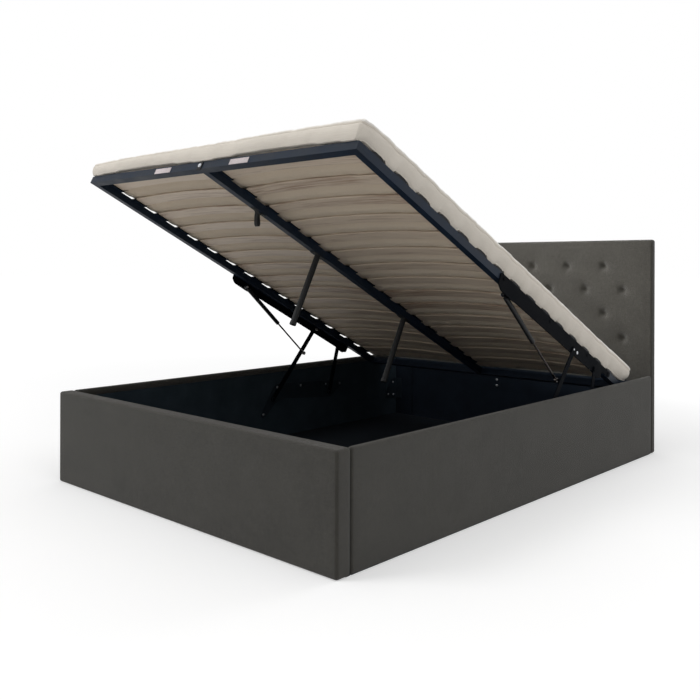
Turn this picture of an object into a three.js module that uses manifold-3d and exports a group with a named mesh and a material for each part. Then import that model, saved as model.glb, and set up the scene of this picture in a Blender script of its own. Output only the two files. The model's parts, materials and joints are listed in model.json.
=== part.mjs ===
// Ottoman storage bed, shown with its lid held open by two gas struts.
// Millimetres, +Z up, +Y towards the headboard, +X to the side nearer the camera; the floor is z = 0.
import * as THREE from "three";
import { mergeVertices } from "three/addons/utils/BufferGeometryUtils.js";
import { RoundedBoxGeometry } from "three/addons/geometries/RoundedBoxGeometry.js";
import Module from "manifold-3d";

const wasm = await Module();
wasm.setup();

// Base frame, measured from the outer face of the foot panel (y = 0).
const BED_WIDTH = 1600;
const BASE_LENGTH = 2194;
const RAIL_HEIGHT = 374;
const FOOT_THICKNESS = 61;
const SIDE_THICKNESS = 21;
const HEADBOARD_THICKNESS = 40;
const HEADBOARD_HEIGHT = 1031;
const COVER_WALL = 5;
const COVER_ROUNDING = 7;
const COVER_RETURN_DEPTH = 25;
const COVER_RETURN_THICKNESS = 1.7;
const BOARD_OVERHANG = 2.1;
const FOOT_BOARD_THICKNESS = 18;
const HEADBOARD_BOARD_THICKNESS = 12;
const HEADBOARD_BACK_WALL = 4;
const HEADBOARD_ROUNDING = 12;
const HEADBOARD_FRONT_WALL_TOP = 40;
const HEADBOARD_ROUNDING_STEPS = 2;
const FLOOR_UNDERSIDE = 2;
const FLOOR_THICKNESS = 6;
const HEAD_END_PANEL_THICKNESS = 10;
const HEAD_END_POST_WIDTH = 121;
const HEAD_END_POST_THICKNESS = 10;
const HEAD_END_HEIGHT = 343;

// Clearances.
const GAP = 0.3;
const PIN_CLEARANCE = 0.3;
const JOIN_BITE = 0.5;

// Tufting of the headboard: rows of buttons, every second row moved by half a pitch.
const TUFT_PITCH = 200;
const TUFT_ROW_PITCH = 118;
const TUFT_ROWS = 4;
const TUFT_TOP_MARGIN = 132;
const TUFT_SIDE_MARGIN = 100;
const TUFT_SHIFT = 50;
const TUFT_DEPTH = 17;
const TUFT_SPREAD = 38;
const TUFT_GRID_LINES_PER_ROW = 3;
const BUTTON_RADIUS = 11;
const BUTTON_THICKNESS = 7;
const BUTTON_SIDES = 6;
const BUTTON_CROWN_SHARE = 0.6;

// Lid frame: one welded ring of square tube with a centre rail.
const LID_FOOT_SPACE = 34;
const LID_HEAD_SPACE = 64;
const LID_LENGTH = BASE_LENGTH - FOOT_THICKNESS - LID_FOOT_SPACE - LID_HEAD_SPACE;
const TUBE_SIZE = 30;
const TUBE_WALL = 1.5;
const DRAIN_RADIUS = 4;
const DRAIN_FROM_SIDE = 164;
const DRAIN_SIDES = 10;

// Sprung slats, two columns of rows across the lid.
const SLAT_ROWS = 15;
const SLAT_FOOT_MARGIN = 102;
const SLAT_HEAD_MARGIN = 134;
const SLAT_WIDTH = 55;
const SLAT_THICKNESS = 7;
const SLAT_RISE = 16;
const SLAT_EDGE_ROUNDING = 1.5;
const SLAT_SEGMENTS = 6;
const SLAT_END_CLEARANCE = 2;

// Plastic holders that take the slat ends.
const HOLDER_LENGTH = 66;
const HOLDER_HEIGHT = 15;
const HOLDER_OUTER_MARGIN = 7;
const HOLDER_POCKET_MARGIN = 19;
const HOLDER_REACH = 46;
const HOLDER_FLOOR = 3.2;
const HOLDER_POCKET_HEIGHT = 10;
const CENTRE_HOLDER_HALF = 25;
const CENTRE_WEB_HALF = 4;
const HOLDER_ROUNDING = 11;
const HOLDER_SEGMENTS = 1;

// Legs under the centre rail and the pull strap.
const LEG_PLACE_SHARES = [0.3322, 0.6447];
const LEG_NAMES = ["foot", "head"];
const LEG_RADIUS = 12.5;
const LEG_FLOOR_CLEARANCE = 1;
const LEG_PLATE_LENGTH = 70;
const LEG_PLATE_WIDTH = 28;
const LEG_PLATE_THICKNESS = 3;
const LEG_TIP_LENGTH = 14;
const LEG_TIP_RADIUS = 14;
const LEG_SIDES = 20;
const STRAP_PLACE = 312;
const STRAP_WIDTH = 20;
const STRAP_THICKNESS = 2.4;
const STRAP_DROP = 46;
const STRAP_LOOP_HALF = 5;
const STRAP_HANG_START = 12;
const STRAP_TAB_LENGTH = 34;
const STRAP_TAB_SHARES = [1, 0.75];
const STRAP_BEND_SHARES = [
  [3, -0.1],
  [1.6, -0.7],
  [1, -2],
];
const STRAP_STEPS = 26;

// Lift linkage: places along the bed are measured from its head end, heights from the rail top.
const LID_OPEN_DEG = 26.88;
const FRONT_PIVOT_TO_HEAD = 1026.6;
const FRONT_PIVOT_DROP = 166;
const REAR_PIVOT_TO_HEAD = 610.4;
const REAR_PIVOT_DROP = 175.8;
const FRONT_LINK_LENGTH = 455.6;
const REAR_LINK_LENGTH = 264.3;
const LID_FRONT_PIVOT_TO_HEAD = 519;
const LID_FRONT_PIVOT_DROP = 13;
const LID_REAR_PIVOT_TO_HEAD = 306;
const LID_REAR_PIVOT_DROP = 17;
const LID_STRUT_PIVOT_TO_HEAD = 1075;
const LID_STRUT_PIVOT_DROP = 25;
const STRUT_STUD_ALONG_LINK = 298.2;
const LINK_HALF_WIDTH = 12.5;
const LINK_ARC_STEPS = 7;
const PIN_RADIUS = 6;
const PIN_HEAD_RADIUS = 10;
const PIN_SIDES = 16;
const HEAD_SIDES = 12;

// Layers of the linkage, from the lined face of a side rail inwards.
const BASE_BRACKET_THICKNESS = 2.7;
const LOW_HEAD_HEIGHT = 1;
const LINK_THICKNESS = 4;
const LID_BRACKET_THICKNESS = 4;
const PIVOT_HEAD_HEIGHT = 3.7;
const REAR_HEAD_HEIGHT = 2.8;
const LID_BOLT_HEIGHT = 2.2;
const STRUT_AXIS_OFFSET = 19.3;
const STRUT_EYE_WIDTH = 10;
const STUD_END_CLEARANCE = 1;
const LINED_X = BED_WIDTH / 2 - SIDE_THICKNESS - BOARD_OVERHANG;
const BASE_BRACKET_X = [LINED_X - GAP - BASE_BRACKET_THICKNESS, LINED_X - GAP];
const LOW_HEAD_X = [BASE_BRACKET_X[0] - LOW_HEAD_HEIGHT, BASE_BRACKET_X[0] + JOIN_BITE];
const LINK_X = [LOW_HEAD_X[0] - GAP - LINK_THICKNESS, LOW_HEAD_X[0] - GAP];
const LID_BRACKET_X = [LINK_X[0] - GAP - LID_BRACKET_THICKNESS, LINK_X[0] - GAP];
const LID_HALF_WIDTH = LID_BRACKET_X[0] - GAP;
const PIVOT_HEAD_X = [LID_BRACKET_X[1] - PIVOT_HEAD_HEIGHT, LID_BRACKET_X[1]];
const LID_PIN_HEAD_X = [LID_HALF_WIDTH - PIVOT_HEAD_HEIGHT, LID_HALF_WIDTH];
const REAR_HEAD_INSIDE_X = [LID_BRACKET_X[0] - PIVOT_HEAD_HEIGHT, LID_BRACKET_X[0] + JOIN_BITE];
const REAR_HEAD_OUTSIDE_X = [LINK_X[1] - JOIN_BITE, LINK_X[1] + REAR_HEAD_HEIGHT];
const LID_BOLT_X = [LID_BRACKET_X[1] - JOIN_BITE, LID_BRACKET_X[1] + LID_BOLT_HEIGHT];
const STRUT_AXIS_X = LID_BRACKET_X[0] - STRUT_AXIS_OFFSET;
const STRUT_EYE_X = [STRUT_AXIS_X - STRUT_EYE_WIDTH / 2, STRUT_AXIS_X + STRUT_EYE_WIDTH / 2];
const STUD_COLLAR_X = [STRUT_EYE_X[1] + GAP, LID_BRACKET_X[0] + JOIN_BITE];
const STUD_HEAD_X = [STRUT_EYE_X[0] - GAP - PIVOT_HEAD_HEIGHT, STRUT_EYE_X[0] - GAP];
const STUD_X = [STUD_HEAD_X[1] - JOIN_BITE, STUD_COLLAR_X[1]];
const LINK_STUD_X = [STRUT_EYE_X[1] + STUD_END_CLEARANCE, LINK_X[0] + JOIN_BITE];

// Gas struts.
const CYLINDER_RADIUS = 10;
const CYLINDER_START = 16;
const CYLINDER_END = 289;
const CYLINDER_CHAMFER = 2.5;
const CYLINDER_BORE = 4.6;
const BORE_START = 96;
const STRUT_NECK_RADIUS = 4.5;
const STRUT_NECK_START = 6;
const ROD_RADIUS = 4.3;
const ROD_INNER_END = 262;
const ROD_CHAMFER = 1;
const STRUT_EYE_RADIUS = 9;
const STRUT_STUD_RADIUS = 4;
const STRUT_COLLAR_RADIUS = 7;
const STRUT_HEAD_RADIUS = 6.5;
const LINK_STUD_RADIUS = 5;
const ROUND_SIDES = 18;

// Bracket plates: outlines and bolts as shares of each plate's length and depth.
const LID_BRACKET_FOOT_MARGIN = 84;
const LID_BRACKET_HEAD_MARGIN = 155;
const LID_BRACKET_LENGTH =
  LID_STRUT_PIVOT_TO_HEAD -
  LID_REAR_PIVOT_TO_HEAD +
  LID_BRACKET_FOOT_MARGIN +
  LID_BRACKET_HEAD_MARGIN;
const LID_BRACKET_DEPTH = 69;
const LID_BRACKET_TOP_MARGIN = 2;
const LID_BRACKET_OUTLINE_SHARES = [
  [0.0, 1.0],
  [0.0, 0.3333],
  [0.0238, 0.1014],
  [0.1081, 0.0725],
  [0.1429, 0.1159],
  [0.8552, 0.1159],
  [0.8631, 0.0],
  [0.8938, 0.0],
  [0.9008, 0.1159],
  [0.9187, 0.1594],
  [0.9206, 0.6087],
  [1.0, 0.6377],
  [1.0, 1.0],
];
const LID_BRACKET_BOLT_SHARES = [
  [0.0288, 0.7971],
  [0.4097, 0.7971],
  [0.7639, 0.7971],
  [0.9802, 0.8116],
];
const BASE_BRACKET_FOOT_MARGIN = 83.4;
const BASE_BRACKET_HEAD_MARGIN = 108.4;
const BASE_BRACKET_LENGTH =
  FRONT_PIVOT_TO_HEAD - REAR_PIVOT_TO_HEAD + BASE_BRACKET_FOOT_MARGIN + BASE_BRACKET_HEAD_MARGIN;
const BASE_BRACKET_DEPTH = 166;
const BASE_BRACKET_DROP = 90;
const BASE_BRACKET_OUTLINE_SHARES = [
  [0.0, 0.0843],
  [0.0197, 0.0],
  [0.0592, 0.0241],
  [0.1661, 0.3976],
  [0.2812, 0.512],
  [0.75, 0.3494],
  [0.8487, 0.3253],
  [0.8947, 0.4578],
  [0.9901, 0.6265],
  [1.0, 0.7711],
  [0.9737, 0.8373],
  [0.7829, 0.8795],
  [0.4868, 0.9518],
  [0.2007, 1.0],
  [0.1546, 0.9518],
  [0.0921, 0.5904],
];
const BASE_BRACKET_BOLT_SHARES = [
  [0.0312, 0.1024],
  [0.1875, 0.8916],
  [0.4671, 0.8434],
  [0.7812, 0.7651],
  [0.9655, 0.7289],
];
const CORNER_BRACKET_LENGTH = 99.4;
const CORNER_BRACKET_HEIGHT = 130;
const CORNER_BRACKET_BOTTOM = 96;
const CORNER_BRACKET_OUTLINE_SHARES = [
  [1.0, 0.0],
  [0.1207, 0.0769],
  [0.0, 0.2154],
  [0.0402, 0.4],
  [0.4628, 0.9077],
  [1.0, 1.0],
];
const CORNER_BRACKET_BOLT_SHARES = [
  [0.6539, 0.7846],
  [0.6841, 0.2077],
  [0.2113, 0.2538],
];
const PLATE_CORNER = 8;
const CORNER_PLATE_THICKNESS = 3;
const CORNER_BOLT_HEIGHT = 3;
const CORNER_LEG_WIDTH = 46;
const CORNER_LEG_MARGIN = 6;
const BOLT_RADIUS = 7;
const BRACKET_BOLT_RADIUS = 6.5;
const CORNER_PLATE_X = [LINED_X - GAP - CORNER_PLATE_THICKNESS, LINED_X - GAP];
const CORNER_BOLT_X = [CORNER_PLATE_X[0] - CORNER_BOLT_HEIGHT, CORNER_PLATE_X[0] + JOIN_BITE];

// Mattress, resting over the slats.
const MATTRESS_SIDE_OVERHANG = 6;
const MATTRESS_FOOT_OVERHANG = 20;
const MATTRESS_HEAD_OVERHANG = 45;
const MATTRESS_CORNER = 20;
const MATTRESS_REST_GAP = 1;
const MATTRESS_FOOT_THICKNESS = 62;
const MATTRESS_HEAD_THICKNESS = 88;
const MATTRESS_FOOT_TILT = 8;
const MATTRESS_FOOT_DROP = 12;
const MATTRESS_FOOT_DROP_REACH = 170;
const MATTRESS_CROWN = 6;
const MATTRESS_EDGE = 26;
const MATTRESS_WAVE = 1.6;
const MATTRESS_WAVE_LENGTH = 410;
const MATTRESS_COLUMNS = 18;
const MATTRESS_ROWS = 20;
const MATTRESS_BOTTOM_INSET_SHARE = 0.5;
const MATTRESS_SIDE_RING_SHARES = [
  [0.04, 0.12],
  [0, 0.3],
  [0.03, 0.52],
  [0.12, 0.82],
];

// Turns a geometry into a solid that can be joined and cut.
function solidOf(geometry) {
  const bare = geometry.clone();
  for (const name of Object.keys(bare.attributes)) {
    if (name !== "position") {
      bare.deleteAttribute(name);
    }
  }
  const merged = mergeVertices(bare, 1e-4);
  return new wasm.Manifold(
    new wasm.Mesh({
      numProp: 3,
      vertProperties: merged.attributes.position.array,
      triVerts: new Uint32Array(merged.index.array),
    }),
  );
}

function geometryOf(solid) {
  const mesh = solid.getMesh();
  return new THREE.BufferGeometry()
    .setAttribute("position", new THREE.BufferAttribute(mesh.vertProperties, 3))
    .setIndex(new THREE.BufferAttribute(mesh.triVerts, 1));
}

function joined(solids) {
  return solids.reduce((sum, next) => sum.add(next));
}

function without(solid, cutters) {
  return cutters.reduce((left, cutter) => left.subtract(cutter), solid);
}

function box(x, y, z) {
  const geometry = new THREE.BoxGeometry(x[1] - x[0], y[1] - y[0], z[1] - z[0]);
  geometry.translate((x[0] + x[1]) / 2, (y[0] + y[1]) / 2, (z[0] + z[1]) / 2);
  return solidOf(geometry);
}

function softBox(x, y, z, rounding) {
  const geometry = new RoundedBoxGeometry(x[1] - x[0], y[1] - y[0], z[1] - z[0], 2, rounding);
  geometry.translate((x[0] + x[1]) / 2, (y[0] + y[1]) / 2, (z[0] + z[1]) / 2);
  return solidOf(geometry);
}

// A round bar across the bed, between two distances from its middle.
function crossBar(radius, x, y, z, sides) {
  const geometry = new THREE.CylinderGeometry(radius, radius, x[1] - x[0], sides);
  geometry.rotateZ(Math.PI / 2);
  geometry.translate((x[0] + x[1]) / 2, y, z);
  return solidOf(geometry);
}

// A flat plate in the side plane: the outline's first axis becomes y and its second z.
const SIDE_PLANE = new THREE.Matrix4().makeBasis(
  new THREE.Vector3(0, 1, 0),
  new THREE.Vector3(0, 0, 1),
  new THREE.Vector3(1, 0, 0),
);

function plate(shape, x, steps) {
  const geometry = new THREE.ExtrudeGeometry(shape, {
    depth: x[1] - x[0],
    bevelEnabled: false,
    curveSegments: steps,
  });
  geometry.applyMatrix4(SIDE_PLANE);
  geometry.translate(x[0], 0, 0);
  return solidOf(geometry);
}

// A bar of constant section along s: the outline's first axis stays x and its second becomes h.
const CROSS_PLANE = new THREE.Matrix4().makeBasis(
  new THREE.Vector3(1, 0, 0),
  new THREE.Vector3(0, 0, 1),
  new THREE.Vector3(0, -1, 0),
);

function profileBar(shape, s, rounding) {
  const geometry = new THREE.ExtrudeGeometry(shape, {
    depth: s[1] - s[0] - 2 * rounding,
    bevelEnabled: rounding > 0,
    bevelThickness: rounding,
    bevelSize: rounding,
    bevelOffset: -rounding,
    bevelSegments: 1,
    curveSegments: HOLDER_SEGMENTS,
  });
  geometry.applyMatrix4(CROSS_PLANE);
  geometry.translate(0, s[1] - rounding, 0);
  return solidOf(geometry);
}

function roundedOutline(points, radius) {
  const shape = new THREE.Shape();
  const corners = points.map(([a, b]) => new THREE.Vector2(a, b));
  corners.forEach((corner, i) => {
    const before = corners[(i + corners.length - 1) % corners.length];
    const after = corners[(i + 1) % corners.length];
    const cut = Math.min(radius, corner.distanceTo(before) / 2, corner.distanceTo(after) / 2);
    const start = corner.clone().lerp(before, cut / corner.distanceTo(before));
    const end = corner.clone().lerp(after, cut / corner.distanceTo(after));
    if (i === 0) {
      shape.moveTo(start.x, start.y);
    } else {
      shape.lineTo(start.x, start.y);
    }
    shape.quadraticCurveTo(corner.x, corner.y, end.x, end.y);
  });
  shape.closePath();
  return shape;
}

// Places on a plate, from shares of its length and height.
function fromShares(shares, start, length, bottom, height) {
  return shares.map(([along, up]) => [start + along * length, bottom + up * height]);
}

function polygon(points) {
  return new THREE.Shape(points.map(([a, b]) => new THREE.Vector2(a, b)));
}

// The same solid on the other side of the bed.
function mirrored(solid) {
  const geometry = geometryOf(solid);
  geometry.scale(-1, 1, 1);
  const index = geometry.index.array;
  for (let i = 0; i < index.length; i += 3) {
    const kept = index[i + 1];
    index[i + 1] = index[i + 2];
    index[i + 2] = kept;
  }
  return solidOf(geometry);
}

// Positions of the open linkage.
const LID_TURN = THREE.MathUtils.degToRad(LID_OPEN_DEG);
const FRONT_PIVOT = { y: BASE_LENGTH - FRONT_PIVOT_TO_HEAD, z: RAIL_HEIGHT - FRONT_PIVOT_DROP };
const REAR_PIVOT = { y: BASE_LENGTH - REAR_PIVOT_TO_HEAD, z: RAIL_HEIGHT - REAR_PIVOT_DROP };
const LID_FRONT_PIVOT = { s: LID_LENGTH - LID_FRONT_PIVOT_TO_HEAD, h: -LID_FRONT_PIVOT_DROP };
const LID_REAR_PIVOT = { s: LID_LENGTH - LID_REAR_PIVOT_TO_HEAD, h: -LID_REAR_PIVOT_DROP };
const LID_STRUT_PIVOT = { s: LID_LENGTH - LID_STRUT_PIVOT_TO_HEAD, h: -LID_STRUT_PIVOT_DROP };

function circleMeeting(a, radiusA, b, radiusB) {
  const dy = b.y - a.y;
  const dz = b.z - a.z;
  const apart = Math.hypot(dy, dz);
  const along = (apart * apart + radiusA * radiusA - radiusB * radiusB) / (2 * apart);
  const aside = Math.sqrt(radiusA * radiusA - along * along);
  return {
    y: a.y + (along * dy - aside * dz) / apart,
    z: a.z + (along * dz + aside * dy) / apart,
  };
}

function lidOffset(point, turn) {
  return {
    y: point.s * Math.cos(turn) + point.h * Math.sin(turn),
    z: -point.s * Math.sin(turn) + point.h * Math.cos(turn),
  };
}

// Where the lid's foot edge stands when the two links hold the lid at an angle.
function lidOrigin(turn) {
  const front = lidOffset(LID_FRONT_PIVOT, turn);
  const rear = lidOffset(LID_REAR_PIVOT, turn);
  const shifted = { y: REAR_PIVOT.y - rear.y + front.y, z: REAR_PIVOT.z - rear.z + front.z };
  const top = circleMeeting(FRONT_PIVOT, FRONT_LINK_LENGTH, shifted, REAR_LINK_LENGTH);
  return { y: top.y - front.y, z: top.z - front.z };
}

function onLid(point) {
  const offset = lidOffset(point, LID_TURN);
  return { y: LID_ORIGIN.y + offset.y, z: LID_ORIGIN.z + offset.z };
}

const LID_ORIGIN = lidOrigin(LID_TURN);
const LID_CLOSED_HEIGHT = lidOrigin(0).z;
const FRONT_TOP = onLid(LID_FRONT_PIVOT);
const REAR_TOP = onLid(LID_REAR_PIVOT);
const STRUT_TOP = onLid(LID_STRUT_PIVOT);
const frontReach = STRUT_STUD_ALONG_LINK / FRONT_LINK_LENGTH;
const STRUT_FOOT = {
  y: FRONT_PIVOT.y + (FRONT_TOP.y - FRONT_PIVOT.y) * frontReach,
  z: FRONT_PIVOT.z + (FRONT_TOP.z - FRONT_PIVOT.z) * frontReach,
};
const STRUT_LENGTH = Math.hypot(STRUT_FOOT.y - STRUT_TOP.y, STRUT_FOOT.z - STRUT_TOP.z);

// The finished bed; its frame has the middle of the footprint at the origin.
const bed = new THREE.Group();
bed.name = "ottoman_storage_bed";
const base = new THREE.Group();
const lid = new THREE.Group();
const lift = new THREE.Group();
const BED_LENGTH = BASE_LENGTH + HEADBOARD_THICKNESS;
base.position.y = -BED_LENGTH / 2;
lift.position.y = -BED_LENGTH / 2;
lid.position.set(0, LID_ORIGIN.y - BED_LENGTH / 2, LID_ORIGIN.z);
lid.rotation.x = -LID_TURN;
bed.add(base, lid, lift);

const UPHOLSTERY = { color: 0x585855, roughness: 0.95, metalness: 0 };
const LINING = { color: 0x17191c, roughness: 0.95, metalness: 0 };
const FLOOR_LINING = { color: 0x1d1f23, roughness: 0.9, metalness: 0 };
const DARK_STEEL = { color: 0x2c3843, roughness: 0.5, metalness: 0.4 };
const BLACK_STEEL = { color: 0x1c1f23, roughness: 0.5, metalness: 0.5 };
const BLACK_PLASTIC = { color: 0x17181a, roughness: 0.6, metalness: 0 };
const SLAT_WOOD = { color: 0xab9a86, roughness: 0.6, metalness: 0 };
const TICKING = { color: 0xe6e2da, roughness: 0.95, metalness: 0 };
const WEBBING = { color: 0x141416, roughness: 0.9, metalness: 0 };
const GAS_CYLINDER = { color: 0x232529, roughness: 0.35, metalness: 0.6 };
const ROD_STEEL = { color: 0xb8bcc2, roughness: 0.2, metalness: 1 };

function addPiece(group, name, solid, look) {
  const mesh = new THREE.Mesh(geometryOf(solid), new THREE.MeshStandardMaterial(look));
  mesh.name = name;
  group.add(mesh);
}

function addPair(group, name, solid, look) {
  addPiece(group, name + "_right", solid, look);
  addPiece(group, name + "_left", mirrored(solid), look);
}

// Widths shared by the base parts.
const OUTER_X = BED_WIDTH / 2;
const INNER_X = OUTER_X - SIDE_THICKNESS;
const RETURN_BOTTOM = RAIL_HEIGHT - COVER_WALL - COVER_RETURN_DEPTH;

// A cover is a padded box with a slot for its board, open at the bottom.
function sleeve(outside, board) {
  return without(outside, [board]);
}

// Foot panel, across the whole width.
{
  const back = FOOT_THICKNESS;
  const top = RAIL_HEIGHT - COVER_WALL;
  const stepped = (slack) =>
    plate(
      polygon([
        [back - FOOT_BOARD_THICKNESS - slack, -slack],
        [back + slack, -slack],
        [back + slack, RETURN_BOTTOM + slack],
        [back - COVER_RETURN_THICKNESS + slack, RETURN_BOTTOM + slack],
        [back - COVER_RETURN_THICKNESS + slack, top + slack],
        [back - FOOT_BOARD_THICKNESS - slack, top + slack],
      ]),
      [-OUTER_X + COVER_WALL - slack, OUTER_X - COVER_WALL + slack],
      1,
    );
  const outside = softBox(
    [-OUTER_X, OUTER_X],
    [0, FOOT_THICKNESS],
    [0, RAIL_HEIGHT],
    COVER_ROUNDING,
  );
  addPiece(base, "foot_board", stepped(0), LINING);
  addPiece(base, "foot_cover", sleeve(outside, stepped(GAP)), UPHOLSTERY);
}

// Side rails, between the foot panel and the headboard.
{
  const from = FOOT_THICKNESS + GAP;
  const to = BASE_LENGTH - GAP;
  const top = RAIL_HEIGHT - COVER_WALL;
  const stepped = (slack) =>
    profileBar(
      polygon([
        [LINED_X - slack, -slack],
        [OUTER_X - COVER_WALL + slack, -slack],
        [OUTER_X - COVER_WALL + slack, top + slack],
        [INNER_X + COVER_RETURN_THICKNESS - slack, top + slack],
        [INNER_X + COVER_RETURN_THICKNESS - slack, RETURN_BOTTOM + slack],
        [LINED_X - slack, RETURN_BOTTOM + slack],
      ]),
      [from + COVER_WALL - slack, to - COVER_WALL + slack],
      0,
    );
  const outside = softBox([INNER_X, OUTER_X], [from, to], [0, RAIL_HEIGHT], COVER_ROUNDING);
  addPair(base, "side_board", stepped(0), LINING);
  addPair(base, "side_cover", sleeve(outside, stepped(GAP)), UPHOLSTERY);
}

// Headboard: a board in a tufted cover.
function tuftCentres() {
  const perRow = Math.floor((BED_WIDTH - 2 * TUFT_SIDE_MARGIN) / TUFT_PITCH);
  const centres = [];
  for (let row = 0; row < TUFT_ROWS; row += 1) {
    const shift = row % 2 === 0 ? -TUFT_SHIFT : TUFT_SHIFT;
    const z = HEADBOARD_HEIGHT - TUFT_TOP_MARGIN - row * TUFT_ROW_PITCH;
    for (let i = 0; i < perRow; i += 1) {
      centres.push([shift + (i - (perRow - 1) / 2) * TUFT_PITCH, z]);
    }
  }
  return centres;
}

function roundedDrop(distance, radius) {
  const inside = Math.min(Math.max(distance, 0), radius);
  return radius - Math.sqrt(radius * radius - (radius - inside) * (radius - inside));
}

function headboardFront(x, z, centres) {
  let dip = 0;
  for (const [cx, cz] of centres) {
    const near = Math.hypot(x - cx, z - cz) / TUFT_SPREAD;
    dip += TUFT_DEPTH * Math.exp(-near * near);
  }
  const edge = Math.min(OUTER_X - Math.abs(x), HEADBOARD_HEIGHT - z);
  return BASE_LENGTH + dip + roundedDrop(edge, HEADBOARD_ROUNDING);
}

function headboardPad() {
  const centres = tuftCentres();
  const xs = [];
  const zs = [0];
  const rounding = [];
  for (let i = 0; i < HEADBOARD_ROUNDING_STEPS; i += 1) {
    rounding.push((HEADBOARD_ROUNDING * i * i) / (HEADBOARD_ROUNDING_STEPS * HEADBOARD_ROUNDING_STEPS));
  }
  rounding.forEach((inset) => xs.push(-OUTER_X + inset));
  const lines = Math.ceil((OUTER_X - HEADBOARD_ROUNDING) / TUFT_SHIFT) - 1;
  for (let i = -lines; i <= lines; i += 1) {
    xs.push(i * TUFT_SHIFT);
  }
  rounding.reverse().forEach((inset) => xs.push(OUTER_X - inset));
  const step = TUFT_ROW_PITCH / TUFT_GRID_LINES_PER_ROW;
  const below = TUFT_ROWS * TUFT_GRID_LINES_PER_ROW - 2;
  zs.push((HEADBOARD_HEIGHT - TUFT_TOP_MARGIN - below * step) / 2);
  for (let i = below; i >= -1; i -= 1) {
    zs.push(HEADBOARD_HEIGHT - TUFT_TOP_MARGIN - i * step);
  }
  rounding.forEach((inset) => zs.push(HEADBOARD_HEIGHT - inset));
  const back = BASE_LENGTH + HEADBOARD_THICKNESS;
  const spots = [];
  const faces = [];
  const columns = xs.length;
  const rows = zs.length;
  zs.forEach((z) => xs.forEach((x) => spots.push(x, headboardFront(x, z, centres), z)));
  const at = (i, j) => j * columns + i;
  for (let j = 0; j < rows - 1; j += 1) {
    for (let i = 0; i < columns - 1; i += 1) {
      faces.push(at(i, j), at(i + 1, j), at(i + 1, j + 1));
      faces.push(at(i, j), at(i + 1, j + 1), at(i, j + 1));
    }
  }
  const rim = [];
  for (let i = 0; i < columns - 1; i += 1) rim.push(at(i, 0));
  for (let j = 0; j < rows - 1; j += 1) rim.push(at(columns - 1, j));
  for (let i = columns - 1; i > 0; i -= 1) rim.push(at(i, rows - 1));
  for (let j = rows - 1; j > 0; j -= 1) rim.push(at(0, j));
  const backStart = spots.length / 3;
  rim.forEach((spot) => spots.push(spots[spot * 3], back, spots[spot * 3 + 2]));
  rim.forEach((spot, k) => {
    const next = (k + 1) % rim.length;
    faces.push(spot, backStart + k, backStart + next);
    faces.push(spot, backStart + next, rim[next]);
  });
  const outline = rim.map((spot) => new THREE.Vector2(spots[spot * 3], spots[spot * 3 + 2]));
  THREE.ShapeUtils.triangulateShape(outline, []).forEach(([a, b, c]) => {
    faces.push(backStart + a, backStart + c, backStart + b);
  });
  const geometry = new THREE.BufferGeometry()
    .setAttribute("position", new THREE.BufferAttribute(new Float32Array(spots), 3))
    .setIndex(faces);
  return solidOf(geometry);
}

{
  const pad = headboardPad();
  const back = BASE_LENGTH + HEADBOARD_THICKNESS;
  const core = (slack) =>
    box(
      [-OUTER_X + HEADBOARD_ROUNDING - slack, OUTER_X - HEADBOARD_ROUNDING + slack],
      [
        back - HEADBOARD_BACK_WALL - HEADBOARD_BOARD_THICKNESS - slack,
        back - HEADBOARD_BACK_WALL + slack,
      ],
      [-slack, HEADBOARD_HEIGHT - HEADBOARD_FRONT_WALL_TOP + slack],
    );
  const buttons = tuftCentres().map(([x, z]) => {
    const geometry = new THREE.CylinderGeometry(
      BUTTON_RADIUS,
      BUTTON_RADIUS * BUTTON_CROWN_SHARE,
      BUTTON_THICKNESS,
      BUTTON_SIDES,
    );
    geometry.translate(0, BASE_LENGTH + TUFT_DEPTH, 0);
    geometry.translate(x, 0, z);
    return solidOf(geometry);
  });
  addPiece(base, "headboard_board", core(0), SLAT_WOOD);
  addPiece(base, "headboard_cover", joined([sleeve(pad, core(GAP)), ...buttons]), UPHOLSTERY);
}

// Inner panel and posts at the head end of the storage space, and the floor.
{
  const back = BASE_LENGTH - GAP;
  const edge = LINED_X - GAP;
  const panelFront = back - HEAD_END_PANEL_THICKNESS;
  const postFront = panelFront - HEAD_END_POST_THICKNESS;
  const panel = box([-edge, edge], [panelFront, back], [0, HEAD_END_HEIGHT]);
  const post = box(
    [edge - HEAD_END_POST_WIDTH, edge],
    [postFront, panelFront + JOIN_BITE],
    [0, HEAD_END_HEIGHT],
  );
  addPiece(base, "head_end_panel", joined([panel, post, mirrored(post)]), LINING);
  addPiece(
    base,
    "floor_panel",
    box(
      [-edge, edge],
      [FOOT_THICKNESS + GAP, postFront - GAP],
      [FLOOR_UNDERSIDE, FLOOR_UNDERSIDE + FLOOR_THICKNESS],
    ),
    FLOOR_LINING,
  );
}

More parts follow.
